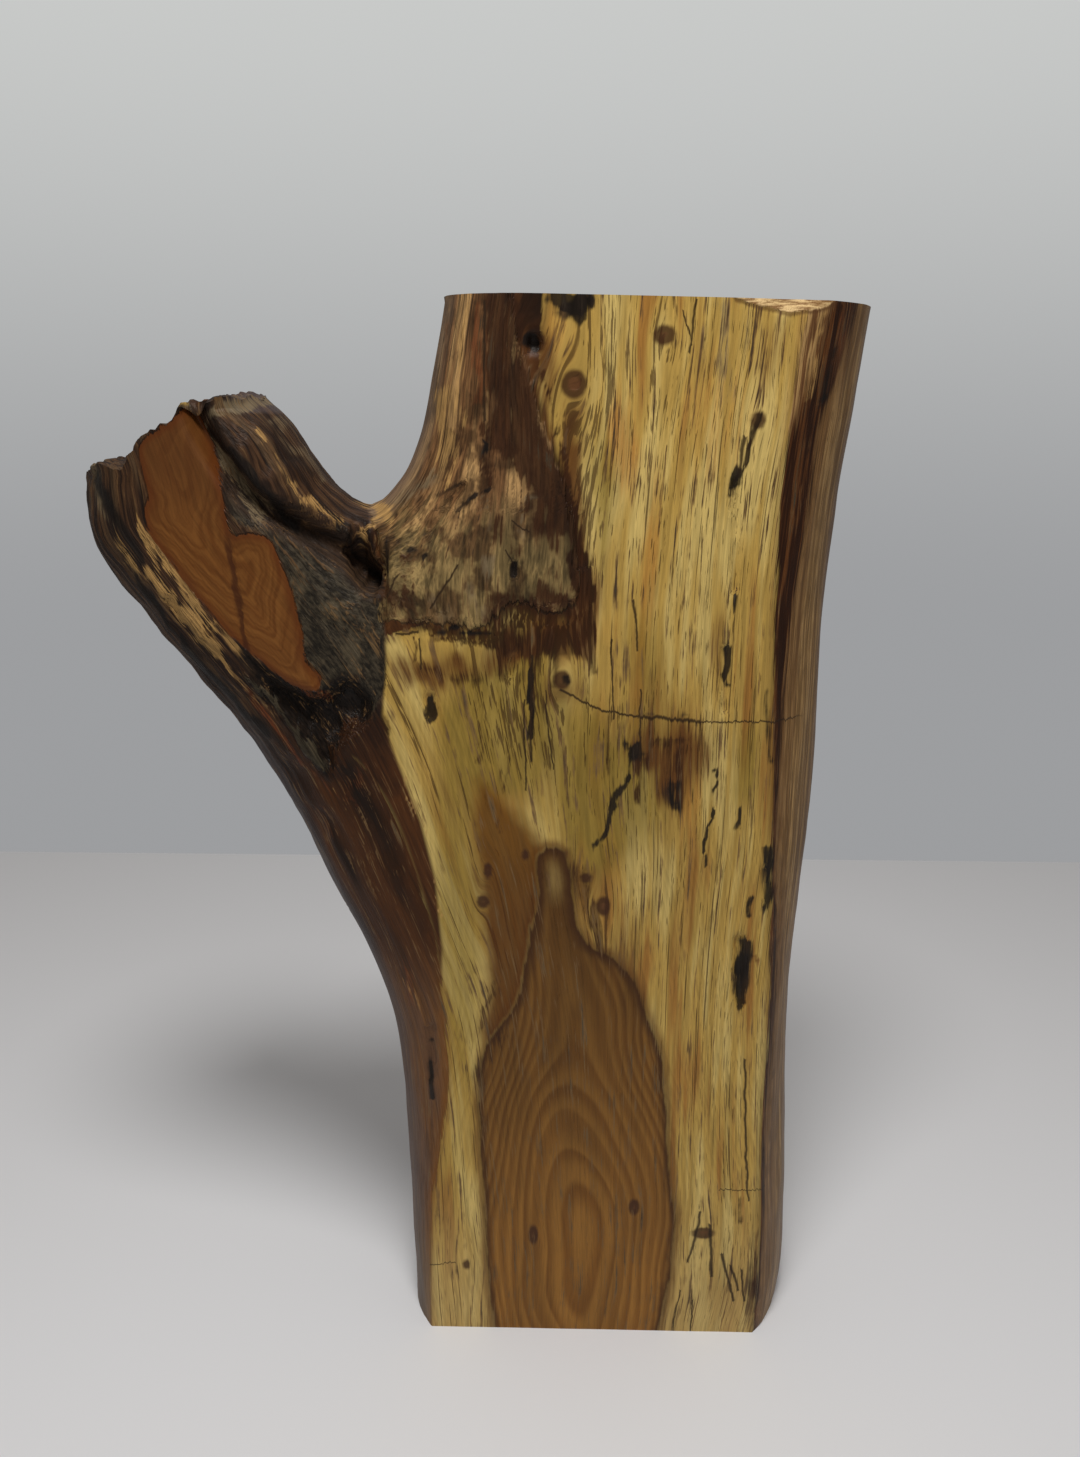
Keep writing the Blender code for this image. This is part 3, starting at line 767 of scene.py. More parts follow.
def knot_rim(plan):
    """Distance to the rim of the nearest knot: an oval's own distance, near enough."""
    rim = np.full(plan.shape[:-1], CLEAR_OF_KNOTS)
    for x, z, wide, tall, _ in KNOTS:
        r = np.hypot((plan[..., 0] - x) / wide, (plan[..., 1] - z) / tall)
        rim = np.minimum(rim, (r - 1.0) * math.sqrt(wide * tall))
    return rim


def paints(plan):
    """Every stain, the knots' rims and the chipped corner, on the front."""
    found = {name: stain(plan, spots) for name, spots in STAINS.items()}
    for name, strokes in STROKES.items():
        found[name] = stroke(plan, strokes)
    found["knot"] = knot_rim(plan)
    found["chip"] = inside(np.array([*CHIP, CHIP[0]]), plan)
    return found


trunk_paints = paints(trunk)
branch_paints = paints(branch)
print("stains:", ", ".join(STAINS))

# %% [markdown]
# ## The heartwood's arch
#
# The dark inner wood is a tapered core round the pith. The front saw cut met it off centre, so
# it shows as a tall arch with shoulders. On the front its border is the outline below. Inside
# the wood it is where the distance from the pith reaches the core's radius. The core is solid in
# this way, and not painted on one face, so the top, the base and the back show it too.

# %% Pith and arch
PITH_Y = 3.0
PITH = [
    # height, x of the middle of the rings, radius of the heartwood, taper of the rings
    (0.0, -8.4, 41.7, 1.08),
    (20.0, -8.4, 42.0, 1.03),
    (47.0, -8.5, 42.4, 1.00),
    (77.0, -9.6, 41.7, 1.09),
    (91.0, -10.2, 41.1, 1.15),
    (101.0, -10.3, 40.6, 1.21),
    (113.0, -10.4, 39.9, 1.27),
    (128.0, -9.2, 36.7, 1.30),
    (148.0, -12.0, 31.4, 1.33),
    (162.0, -14.0, 29.95, 1.35),
    (172.0, -16.3, 29.3, 1.36),
    (176.0, -17.0, 29.0, 1.37),
    (200.0, -17.5, 27.0, 1.40),
    (333.0, -12.0, 24.0, 1.50),
]
ARCH = [
    (-36.6, -30.0), (-36.8, -2.3), (-38.7, 19.7), (-39.5, 39.7), (-39.8, 59.1), (-40.6, 77.8),
    (-40.7, 96.0), (-39.7, 106.7), (-36.6, 114.9), (-30.6, 124.1), (-27.5, 131.0), (-25.9, 142.1),
    (-23.7, 153.0), (-22.2, 163.8), (-22.4, 172.2), (-21.0, 177.4), (-18.2, 179.4), (-14.4, 178.3),
    (-12.2, 173.3), (-11.2, 163.9), (-9.5, 153.2), (-5.8, 146.7), (0.6, 143.4), (6.6, 137.0),
    (11.3, 125.9), (14.9, 115.7), (16.9, 108.8), (18.4, 97.0), (19.2, 85.0), (20.4, 72.8),
    (21.6, 60.3), (23.9, 47.6), (23.3, 34.5), (22.4, 21.2), (20.5, 7.5), (18.8, -2.0),
    (18.0, -30.0),
]
pith_curve = smooth_curve(PITH, samples=400)


def pith_values(z):
    """Pith x, core radius and ring taper at a height. The table's radii were read with the pith
    29 mm behind the front, and the pith lies deeper, so each radius grows to match."""
    middle, radius, taper = (np.interp(z, pith_curve[:, 0], pith_curve[:, k]) for k in (1, 2, 3))
    return middle, np.sqrt(radius**2 - BACK_Y**2 + (BACK_Y + PITH_Y) ** 2), taper


def core_edge(x, y, z):
    """Distance outside the core: from the pith, less the core's radius."""
    middle, radius, _ = pith_values(z)
    return np.hypot(x - middle, y - PITH_Y) - radius


print("core radius at the base, mm:", round(float(pith_values(0.0)[1]), 1))

# %% [markdown]
# ## One closed mesh
#
# The front and back of both grids are four sheets. Three ruled strips close the sawn top, the
# sawn base and the broken end of the branch. Where sheets meet, their points are the same, so a
# weld joins them into one shell. Every value that a material needs travels with the points.

# %% Sheets and strips
CAP_ROWS = 15
DEPTH_FADE = 0.6
ROUND_FADE = 14.0
SOLID_DEPTH = 6.0
FAR_FROM_BREAK = 200.0
NOWHERE = -30.0
FADING_ZONES = ("branch_heart", "branch_grey", "weathered", "black_hollow", "tongue")
CLEAR_BACK = {"knot": 9.0, "fleck": 0.5, "split": 60.0, "chip": NOWHERE}


def sheet(part, side, plan, sizes, front_zones, front_paints, flow):
    """Points (x, y, z) of one sheet with their values. The front has its zones and stains. The
    back is clear of them, apart from flecks: each value passes from the front's to the clear
    one as the slab gets thicker behind the outline, so no border follows the weld."""
    on_front = side == "front"
    y = sizes[side]
    behind = ramp(sizes["back"] - sizes["front"], 0.0, ROUND_FADE)
    values = {}
    for name, value in {**front_zones, **front_paints}.items():
        clear = CLEAR_BACK.get(name, NOWHERE if name in FADING_ZONES else 0.0)
        values[name] = value if on_front else mix(value, clear, behind)
    x, z = plan[..., 0], plan[..., 1]
    values["pith_x"], _, values["taper"] = pith_values(z)
    values["heart_edge"] = -inside(closed_curve(ARCH), plan) if on_front else core_edge(x, y, z)
    values["branch_side"] = front_zones["branch_side"]
    values["skin"] = sizes["skin"] if on_front else sizes["back_skin"]
    values["inward"] = sizes["inward"]
    values["flow"] = flow
    values["end"] = np.full(y.shape, FAR_FROM_BREAK)
    if part == "branch":
        values["end"], _ = nearest(np.array(BROKEN_END), plan)
    values["cap"] = np.zeros(y.shape)
    return np.stack([x, y, z], axis=-1), values


def strip(front, back, steps):
    """Straight lines from the front border to the back border. A front zone fades as it goes
    in: its distance falls with depth."""
    share = np.linspace(0.0, 1.0, steps + 1)[:, None]
    points = mix(front[0][None], back[0][None], share[..., None])
    depth = points[..., 1] - front[0][None, :, 1]
    values = {}
    for name in front[1]:
        if name in FADING_ZONES:
            values[name] = np.maximum(front[1][name] - DEPTH_FADE * depth, NOWHERE)
        else:
            values[name] = mix(front[1][name], back[1][name], share)
    solid = core_edge(points[..., 0], points[..., 1], points[..., 2])
    values["heart_edge"] = mix(front[1]["heart_edge"][None], solid, ramp(depth, 0.0, SOLID_DEPTH))
    values["cap"] = np.ones(depth.shape)
    return points, values


def border(block, place):
    """One border of a sheet: its points and values."""
    return block[0][place], {name: value[place] for name, value in block[1].items()}


sheets = {}
for part, plan, sizes, zone, paint, flow in (
    ("trunk", trunk, trunk_sizes, trunk_zones, trunk_paints, trunk_flow),
    ("branch", branch, branch_sizes, branch_zones, branch_paints, branch_flow),
):
    for side in ("front", "back"):
        sheets[part, side] = sheet(part, side, plan, sizes, zone, paint, flow)
strips = [
    strip(border(sheets[part, "front"], row), border(sheets[part, "back"], row), CAP_ROWS)
    for part, row in (("trunk", 0), ("trunk", -1), ("branch", -1))
]
print("sheets:", len(sheets), "strips:", len(strips))


# %% Weld them into one shell
WELD_DISTANCE = 0.000002


def grid_quads(rows, columns, first):
    """Corner numbers of the four-sided cells of a grid whose points count up from first."""
    corner = first + np.arange(rows * columns).reshape(rows, columns)
    return np.stack(
        [corner[:-1, :-1], corner[:-1, 1:], corner[1:, 1:], corner[1:, :-1]], axis=-1
    ).reshape(-1, 4)


def make_shell(blocks):
    """One mesh from all blocks, with each value as a float on its points."""
    points, quads, values, first = [], [], {}, 0
    for grid, block_values in blocks:
        points.append(grid.reshape(-1, 3))
        quads.append(grid_quads(*grid.shape[:2], first))
        first += points[-1].shape[0]
        for name, value in block_values.items():
            values.setdefault(name, []).append(np.asarray(value).reshape(-1))
    points = np.concatenate(points) * MM
    quads = np.concatenate(quads)
    mesh = bpy.data.meshes.new("forked_slab_wood")
    mesh.vertices.add(len(points))
    mesh.vertices.foreach_set("co", points.astype(np.float32).ravel())
    mesh.loops.add(quads.size)
    mesh.loops.foreach_set("vertex_index", quads.astype(np.int32).ravel())
    mesh.polygons.add(len(quads))
    mesh.polygons.foreach_set("loop_start", np.arange(0, quads.size, 4, dtype=np.int32))
    mesh.update(calc_edges=True)
    for name, pieces in values.items():
        layer = mesh.attributes.new(name, "FLOAT", "POINT")
        layer.data.foreach_set("value", np.concatenate(pieces).astype(np.float32))
    bm = bmesh.new()
    bm.from_mesh(mesh)
    bmesh.ops.remove_doubles(bm, verts=bm.verts, dist=WELD_DISTANCE)
    bmesh.ops.recalc_face_normals(bm, faces=bm.faces)
    open_edges = sum(len(edge.link_faces) != 2 for edge in bm.edges)
    bm.to_mesh(mesh)
    bm.free()
    print("points:", len(mesh.vertices), "faces:", len(mesh.polygons), "open edges:", open_edges)
    return mesh


wood_mesh = make_shell([*sheets.values(), *strips])

# %% [markdown]
# ## Relief
#
# The shell is still as smooth as a pebble. Real skin has lengthwise ribs and lumps, weathered
# wood has furrows, and the split, the cracks and the broken end are gaps with depth. Bump alone
# would leave their outlines flat from the side. So each of these is a height in millimetres,
# added along the shell's own normals. Fibres are noise that changes quickly across the grain
# flow and slowly with height.

# %% Marks that are cut into the front, in millimetres
FISSURES = [
    # start x, z, end x, z, half width, depth
    (30.6, 285.2, 32.1, 255.8, 0.9, 1.3),
    (30.3, 239.0, 31.1, 221.6, 0.8, 1.1),
    (45.4, 172.5, 45.9, 162.7, 0.8, 0.9),
    (39.2, 149.4, 40.3, 128.8, 1.4, 1.6),
    (-55.6, 116.7, -56.2, 98.5, 1.2, 1.2),
    (-52.4, 224.6, -52.1, 219.6, 1.3, 1.4),
    (-29.6, 231.0, -28.6, 236.5, 0.8, 0.8),
    (-22.9, 320.1, -22.5, 319.3, 1.7, 2.6),
    (-28.6, 262.6, -28.2, 260.0, 1.0, 1.2),
    (-42.0, 283.5, -52.5, 271.0, 0.7, 1.0),
    (-64.3, 265.3, -65.2, 245.9, 0.9, 1.6),
    (-105.7, 269.8, -104.6, 243.7, 0.6, 0.7),
    (-71.0, 267.0, -69.0, 260.5, 3.6, 8.0),
    (-98.0, 224.0, -80.0, 214.0, 3.0, 1.5),
]
LIP_TOP = 262.0
HOLLOW_DEPTH = 3.4
SPLIT_DEPTH = 6.0
CHIP_DEPTH = 2.2
print("fissures:", len(FISSURES), "deepest, mm:", max(mark[-1] for mark in FISSURES))


# %% Read the shell back
def mesh_values(mesh):
    """The mesh's points in millimetres, its normals and every value on its points."""
    count = len(mesh.vertices)
    points = np.empty(count * 3, np.float32)
    normals = np.empty(count * 3, np.float32)
    mesh.vertices.foreach_get("co", points)
    mesh.vertex_normals.foreach_get("vector", normals)
    values = {}
    for layer in mesh.attributes:
        if layer.data_type == "FLOAT" and layer.domain == "POINT":
            values[layer.name] = np.empty(count, np.float32)
            layer.data.foreach_get("value", values[layer.name])
            values[layer.name] = values[layer.name].astype(float)
    return points.reshape(-1, 3).astype(float) / MM, normals.reshape(-1, 3).astype(float), values


print("values on each point:", ", ".join(sorted(mesh_values(wood_mesh)[2])))


# %% How high each kind of surface stands
def skin_relief(x, y, z, values, ribs, lumps):
    """Ribs and lumps on the round skin, stronger on the branch, and next to nothing where the
    saw and the sander went."""
    on_skin = ramp(values["skin"], -0.3, 3.0) * (1.0 - values["cap"])
    out = ramp(values["branch_side"], -2.0, 6.0) * ramp(z, 150.0, 190.0)
    height = on_skin * (mix(0.28, 0.5, out) * ribs + mix(0.55, 0.9, out) * lumps)
    height += on_skin * out * 0.8 * rough(x / 6.0, y / 6.0, z / 8.0, octaves=3)
    height += (1.0 - on_skin) * 0.05 * wander(x / 14.0, y / 14.0, z / 14.0)
    return height, out


def patch_relief(z, values, front):
    """The weathered patch: furrows, sunk below a ragged lip, with a shallow step before it."""
    flow = values["flow"]
    ragged = 2.4 * wander(flow / 1.3, 3.3, z / 40.0) + 1.2 * wander(flow / 0.5, 8.1, z / 30.0)
    patch = ramp(values["weathered"] + ragged, 0.0, 1.6) * front
    furrows = rough(flow / 1.5, 1.7, z / 34.0, octaves=3)
    sunk = mix(0.85, 0.35, ramp(z, 252.0, 268.0))
    step = 0.35 * front * (ramp(values["weathered"], -5.5, -2.0) - patch) * (z < LIP_TOP)
    return patch * (0.65 * furrows - sunk) - step


def branch_relief(x, y, z, values, ribs, lumps, out):
    """The branch's front: grey furrows, the black hollow with its crumbs, the deep split, the
    crest above the split, and flakes and pale fibres that stand up."""
    flow = values["flow"]
    crumbs = rough(x / 4.0, y / 4.0, z / 5.0, octaves=3)
    grey = ramp(values["branch_grey"] + 0.8 * ribs, 0.0, 1.6)
    height = grey * (0.5 * rough(flow / 1.1, 4.2, z / 18.0) - 1.2)
    hollow = ramp(values["black_hollow"] + 1.5 * lumps, -0.5, 4.5)
    height += hollow * (1.1 * crumbs - HOLLOW_DEPTH)
    height -= SPLIT_DEPTH * (1.0 - ramp(values["split"], 0.5, 4.5 + 1.5 * lumps))
    crest = ramp(values["split"], 3.0, 7.0) * ramp(-values["branch_grey"], 0.5, 3.0) * out
    crest *= (values["branch_heart"] < -2.0) * ramp(x + z, 165.0, 172.0)
    height += crest * 1.1 * rough(flow / 1.6, 6.4, z / 70.0, octaves=3)
    height += np.minimum(values["flake"], 1.0) * (1.5 + 0.5 * crumbs)
    return height + 0.9 * values["pale"] * out * crumbs


def cut_depth(x, z, plan, values):
    """How deep the fissures and the chipped corner are cut. A fissure is a rounded groove: deep
    along its straight line, and up again a little past its half width."""
    depth = 0.0
    for x0, z0, x1, z1, half, deepest in FISSURES:
        gap, _ = nearest(np.array([(x0, z0), (x1, z1)]), plan)
        gap = gap + 0.35 * half * wander(x / 1.5, 2.0, z / 2.5)
        depth = depth + deepest * (1.0 - ramp(gap, 0.25 * half, 1.35 * half + 0.5))
    chip = values["chip"] + 0.7 * wander(x / 2.0, 0.0, z / 2.0)
    return depth + CHIP_DEPTH * ramp(chip, -0.2, 3.6)


def relief(points, values):
    """The height to add at each point: the skin's everywhere, and the other three only on the
    front, where y is still near the saw plane."""
    x, y, z = points.T
    ribs = rough(values["flow"] / 1.7, y / 3.0, z / 22.0, octaves=3)
    lumps = rough(values["flow"] / 10.0, y / 9.0, z / 30.0, octaves=2)
    height, out = skin_relief(x, y, z, values, ribs, lumps)
    front = 1.0 - ramp(y, FRONT_Y + 6.0, FRONT_Y + 20.0)
    height += patch_relief(z, values, front)
    height += front * branch_relief(x, y, z, values, ribs, lumps, out)
    return height - front * cut_depth(x, z, points[:, [0, 2]], values)


print("noise table:", noise_table.shape, "from one fixed seed")


# %% Move the points
BRANCH_AXIS = np.array([-0.53, 0.0, 0.85])
ACROSS_BRANCH = np.array([0.85, 0.0, 0.53])
SPLINTER_LENGTH, SPLINTER_SINK, SPLINTER_REACH = 2.6, 1.0, 7.0
SHARP_EDGE = math.radians(60.0)


def carve(mesh):
    """Move each point along its normal by the relief. The broken end also gets splinters, along
    the branch. Points on the saw cuts across the trunk keep their height."""
    mesh.set_sharp_from_angle(angle=SHARP_EDGE)
    points, normals, values = mesh_values(mesh)
    along_top = np.clip((points[:, 0] - TOP_LEFT_X) / TOP_WIDTH, 0.0, 1.0)
    top = mix(LEFT_HEIGHT, RIGHT_HEIGHT, along_top)
    across_cut = (points[:, 2] < 0.01) | (points[:, 2] > top - 0.05)
    height = relief(points, values)
    on_cap = (values["cap"] > 0.5) & across_cut & (np.abs(normals[:, 2]) > 0.95)
    height = np.where(on_cap, 0.0, height)
    moved = points + normals * height[:, None]
    across = points @ ACROSS_BRANCH
    splinter = rough(across / 3.0, points[:, 1] / 3.5, 0.5, octaves=3)
    splinter = splinter * SPLINTER_LENGTH - SPLINTER_SINK
    splinter *= 1.0 - ramp(values["end"], 0.5, SPLINTER_REACH)
    moved += BRANCH_AXIS * splinter[:, None]
    moved[:, 2] = np.where(across_cut, points[:, 2], moved[:, 2])
    mesh.vertices.foreach_set("co", (moved * MM).astype(np.float32).ravel())
    mesh.update()
    print("relief, mm: from", round(float(height.min()), 2), "to", round(float(height.max()), 2))


carve(wood_mesh)

# %% The finished piece and what it stands for
slab = bpy.data.objects.new("forked_slab_wood", wood_mesh)
bpy.context.scene.collection.objects.link(slab)
wood_mesh.shade_smooth()
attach(slab, "root")
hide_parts("forked_slab")
print("triangles:", sum(len(p.vertices) - 2 for p in wood_mesh.polygons))

# %% [markdown]
# ## Helpers for materials
#
# A material here is a long sum of masks and colours, so a few short words make nodes: a
# smooth step, a blend, a noise and a read of one stored value. Colours are written the way
# they look under the lamp, and the helper takes the lamp's share out of them.

# %% Colours as they look in light
LAMP_SHARE = 0.72


def seen(red, green, blue):
    """A colour from 0 to 255 as it looks in light, as the surface's own linear colour."""
    out = []
    for part in (red, green, blue):
        part = part / 255.0
        linear = part / 12.92 if part <= 0.04045 else ((part + 0.055) / 1.055) ** 2.4
        out.append(min(linear / LAMP_SHARE, 0.95))
    return (*out, 1.0)


print("a yellow as a surface colour:", [round(v, 3) for v in seen(196, 168, 96)])


# %% A bench that puts nodes together
class Bench:
    """Puts nodes on one tree. Any value may be a plain number or another node's socket."""

    def __init__(self, tree):
        self.tree = tree

    def node(self, kind, values=(), **settings):
        """A new node with its settings and its inputs set or linked."""
        made = self.tree.nodes.new(kind)
        for name, setting in settings.items():
            setattr(made, name, setting)
        for place, value in dict(values).items():
            self.feed(made.inputs[place], value)
        return made

    def feed(self, socket, value):
        """Link a socket into an input, or set the input's own value."""
        if isinstance(value, bpy.types.NodeSocket):
            self.tree.links.new(value, socket)
        elif socket.type == "VECTOR":
            socket.default_value = value[:3]
        else:
            socket.default_value = value

    def maths(self, operation, first, second=0.0, third=0.0):
        values = {0: first, 1: second, 2: third}
        return self.node("ShaderNodeMath", values, operation=operation).outputs[0]

    def add(self, *values):
        total = values[0]
        for value in values[1:]:
            total = self.maths("ADD", total, value)
        return total

    def times(self, *values):
        total = values[0]
        for value in values[1:]:
            total = self.maths("MULTIPLY", total, value)
        return total

    def less(self, first, second):
        return self.maths("SUBTRACT", first, second)

    def ease(self, value, low, high, start=0.0, end=1.0):
        """A smooth step from start at low to end at high."""
        values = {0: value, 1: low, 2: high, 3: start, 4: end}
        return self.node("ShaderNodeMapRange", values, interpolation_type="SMOOTHSTEP").outputs[0]

    def hump(self, value, middle, half):
        """1 at the middle and 0 from half away on both sides."""
        away = self.maths("ABSOLUTE", self.less(value, middle))
        return self.ease(away, 0.0, half, 1.0, 0.0)

    def blend(self, share, first, second):
        """The colour that lies between first and second by the share."""
        values = {0: share, 6: first, 7: second}
        return self.node("ShaderNodeMix", values, data_type="RGBA").outputs[2]

    def between(self, share, first, second):
        """The same for plain numbers."""
        return self.node("ShaderNodeMix", {0: share, 2: first, 3: second}).outputs[0]

    def shade(self, colour, amount):
        """The colour, darkened or lightened by an amount."""
        return self.node("ShaderNodeVectorMath", {0: colour, "Scale": amount},
                         operation="SCALE").outputs[0]

    def place(self, x, y, z):
        return self.node("ShaderNodeCombineXYZ", {0: x, 1: y, 2: z}).outputs[0]

    def noise(self, vector, detail=2.0, roughness=0.5):
        values = {"Vector": vector, "Scale": 1.0, "Detail": detail, "Roughness": roughness}
        return self.node("ShaderNodeTexNoise", values).outputs["Fac"]

    def stored(self, name):
        return self.node("ShaderNodeAttribute", attribute_name=name).outputs["Fac"]

    def millimetres(self):
        """The three coordinates on the piece itself, in millimetres."""
        own = self.node("ShaderNodeTexCoord").outputs["Object"]
        parts = self.node("ShaderNodeSeparateXYZ", {0: own}).outputs
        return [self.times(part, 1000.0) for part in parts]

    def use(self, group, values=()):
        """A group's outputs, with its inputs fed."""
        made = self.tree.nodes.new("ShaderNodeGroup")
        made.node_tree = group
        for place, value in dict(values).items():
            self.feed(made.inputs[place], value)
        return made.outputs


print("bench words:", ", ".join(word for word in vars(Bench) if not word.startswith("_")))


# %% Empty groups
def new_group(name, takes, gives):
    """An empty group with its sockets. Names that end in Colour are colours, and the rest are
    numbers. taken and given are the sockets inside that bring values in and take them out."""
    tree = bpy.data.node_groups.new(name, "ShaderNodeTree")
    for way, names in (("INPUT", takes), ("OUTPUT", gives)):
        for socket in names:
            kind = "NodeSocketColor" if socket.endswith("Colour") else "NodeSocketFloat"
            tree.interface.new_socket(socket, in_out=way, socket_type=kind)
    bench = Bench(tree)
    bench.taken = tree.nodes.new("NodeGroupInput").outputs
    bench.given = tree.nodes.new("NodeGroupOutput").inputs
    return bench


print("groups so far:", len(bpy.data.node_groups))

# %% [markdown]
# ## Grain
#
# All parts of the wood share one grain. Blender's wave texture makes a grain as well, but an
# even one. Here the coordinates are the grain flow across, the depth, and the height squeezed
# hard, so every speck of noise becomes a long fibre that follows the flow round knots and out
# into the branch. One group gives seven such noises, from broad tones to single hairs.

# %% Grain group
GRAIN = ("Tone", "Band", "Streak", "Fine", "Fleck", "Hair", "Lump")
grain = new_group("grain", (), GRAIN)
x, y, z = grain.millimetres()
flow = grain.stored("flow")
# noise: fibres per millimetre across and lengthwise, offset, detail, roughness
FIBRES = {
    "Tone": (0.10, 0.016, 0.0, 2.0, 0.5),
    "Band": (0.34, 0.013, 33.0, 2.0, 0.5),
    "Streak": (0.85, 0.030, 20.0, 3.0, 0.6),
    "Fine": (2.6, 0.085, 50.0, 2.0, 0.6),
    "Fleck": (3.6, 0.120, 80.0, 2.0, 0.5),
    "Hair": (1.8, 0.016, 120.0, 1.0, 0.5),
}
for name, (across, lengthwise, offset, detail, roughness) in FIBRES.items():
    along = grain.place(grain.times(flow, across), grain.maths("MULTIPLY_ADD", y, across, offset),
                        grain.times(z, lengthwise))
    grain.feed(grain.given[name], grain.noise(along, detail, roughness))
lumps = grain.place(grain.times(x, 0.16), grain.times(y, 0.16), grain.times(z, 0.12))
grain.feed(grain.given["Lump"], grain.noise(lumps, 3.0, 0.55))
print("grain values:", ", ".join(GRAIN))


def shaken(bench, value, grains, by_band=0.0, by_streak=0.0, by_fine=0.0, by_lump=0.0):
    """A value with the grain's noises added to it, each from minus to plus half its amount."""
    amounts = {"Band": by_band, "Streak": by_streak, "Fine": by_fine, "Lump": by_lump}
    for name, amount in amounts.items():
        if amount:
            value = bench.maths("MULTIPLY_ADD", bench.less(grains[name], 0.5), amount, value)
    return value


# %% [markdown]
# ## Sapwood
#
# The outer wood is yellow and tan, with long brown streaks, thousands of short dark flecks and
# soft stains. Three colours are blended by the broad noises, stains lie over them, and the fine
# noises darken the fibres. Flecks are the peaks of a noise, and a lower threshold crowds them.

# %% Sapwood group
sap = new_group("sapwood", GRAIN, ("Colour", "Height"))
g = sap.taken
x, _, z = sap.millimetres()
base = sap.add(sap.times(0.55, g["Tone"]), sap.times(0.45, g["Band"]))
colour = sap.blend(sap.ease(base, 0.36, 0.47), seen(138, 98, 44), seen(162, 132, 66))
colour = sap.blend(sap.ease(base, 0.48, 0.60), colour, seen(182, 158, 94))
orange = sap.ease(shaken(sap, sap.stored("orange"), g, by_streak=0.9), 0.1, 0.75)
colour = sap.blend(sap.times(orange, 0.75), colour, seen(156, 102, 40))
green = sap.ease(shaken(sap, sap.stored("green"), g, by_streak=0.9), 0.1, 0.75)
colour = sap.blend(sap.times(green, 0.7), colour, seen(118, 98, 36))
colour = sap.blend(sap.ease(z, 70.0, 0.0, 0.0, 0.5), colour, seen(166, 142, 94))
colour = sap.shade(colour, sap.maths("MULTIPLY_ADD", sap.hump(z, 195.0, 85.0), -0.09, 1.0))
colour = sap.shade(colour, sap.ease(g["Streak"], 0.34, 0.56, 0.79, 1.04))
colour = sap.shade(colour, sap.ease(g["Fine"], 0.32, 0.58, 0.86, 1.04))
brown = shaken(sap, sap.stored("brown"), g, by_band=0.5, by_streak=1.3, by_fine=0.9)
colour = sap.blend(sap.ease(brown, 0.15, 0.95, 0.0, 0.92), colour, seen(78, 44, 16))
colour = sap.blend(sap.ease(brown, 0.9, 1.6, 0.0, 0.7), colour, seen(46, 26, 14))
crowd = sap.maths("MULTIPLY_ADD", sap.stored("fleck"), -0.085, 0.72)
crowd = sap.maths("MULTIPLY_ADD", sap.less(g["Band"], 0.5), -0.35, crowd)
crowd = sap.add(crowd, sap.ease(x, -36.0, -46.0, 0.0, 0.08))
flecks = sap.ease(sap.less(g["Fleck"], crowd), 0.0, 0.06)
columns = sap.times(sap.ease(g["Hair"], 0.36, 0.31), sap.ease(g["Fine"], 0.56, 0.46))
flecks = sap.maths("MAXIMUM", flecks, columns)
colour = sap.blend(sap.times(flecks, 0.72), colour, seen(52, 30, 12))
dark = shaken(sap, sap.stored("dark"), g, by_streak=0.9, by_fine=0.9, by_lump=0.6)
colour = sap.blend(sap.times(sap.ease(dark, 0.25, 0.8), 0.92), colour, seen(36, 25, 18))
sap.feed(sap.given["Colour"], colour)
sap.feed(sap.given["Height"], sap.less(sap.times(0.05, g["Fine"]), sap.times(0.10, flecks)))
print("sapwood nodes:", len(sap.tree.nodes))

# %% [markdown]
# ## Heartwood
#
# The rings are nested tapered cones round the pith: the distance from it, times a taper that
# changes with height, counted in ring widths. Cut flat, they give the nested ovals and arches of
# the front, and round rings on the top and base. Rings drawn as curves on the front would stop
# at its border. A dark rim marks the border to the sapwood.

# %% Heartwood group
RINGS_PER_MM = 18.5 / 32.0
heart = new_group("heartwood", ("Colour", *GRAIN), ("Colour", "Share"))
g = heart.taken
x, y, z = heart.millimetres()
across = heart.less(x, heart.stored("pith_x"))
deep = heart.less(y, PITH_Y)
radius = heart.maths("SQRT", heart.add(heart.times(across, across), heart.times(deep, deep)))
broad = heart.place(heart.times(x, 0.05), heart.times(y, 0.05), heart.times(z, 0.022))
slow = heart.noise(broad, 0.0)
radius = heart.maths("MULTIPLY_ADD", heart.less(slow, 0.5), 5.0, radius)
level = heart.times(radius, heart.stored("taper"), RINGS_PER_MM)
uneven = heart.noise(heart.place(heart.times(level, 0.6), 3.0, 7.0), 1.0)
level = heart.maths("MULTIPLY_ADD", uneven, 1.3, level)
ring = heart.maths("FRACT", level)
line = heart.times(heart.ease(ring, 0.0, 0.75), heart.ease(ring, 0.78, 1.0, 1.0, 0.0))
line = heart.times(line, heart.ease(uneven, 0.3, 0.6, 0.45, 1.0))
edge = shaken(heart, heart.stored("heart_edge"), g, by_streak=1.6, by_fine=1.2, by_lump=2.4)
share = heart.ease(edge, -0.9, 0.9, 1.0, 0.0)
wood = heart.blend(heart.times(line, 0.75), seen(113, 78, 32), seen(83, 50, 13))
wood = heart.shade(wood, heart.ease(z, 0.0, 150.0, 1.24, 0.68))
wood = heart.shade(wood, heart.ease(g["Fine"], 0.3, 0.6, 0.86, 1.06))
wood = heart.shade(wood, heart.ease(g["Tone"], 0.35, 0.65, 0.88, 1.10))
spot = heart.times(heart.hump(z, 169.0, 11.0), heart.ease(y, -14.0, -26.0))
wood = heart.blend(heart.times(spot, heart.ease(edge, -1.5, -4.5), 0.8), wood, seen(122, 100, 56))
rim = heart.ease(z, 170.0, 90.0, 5.5, 3.0)
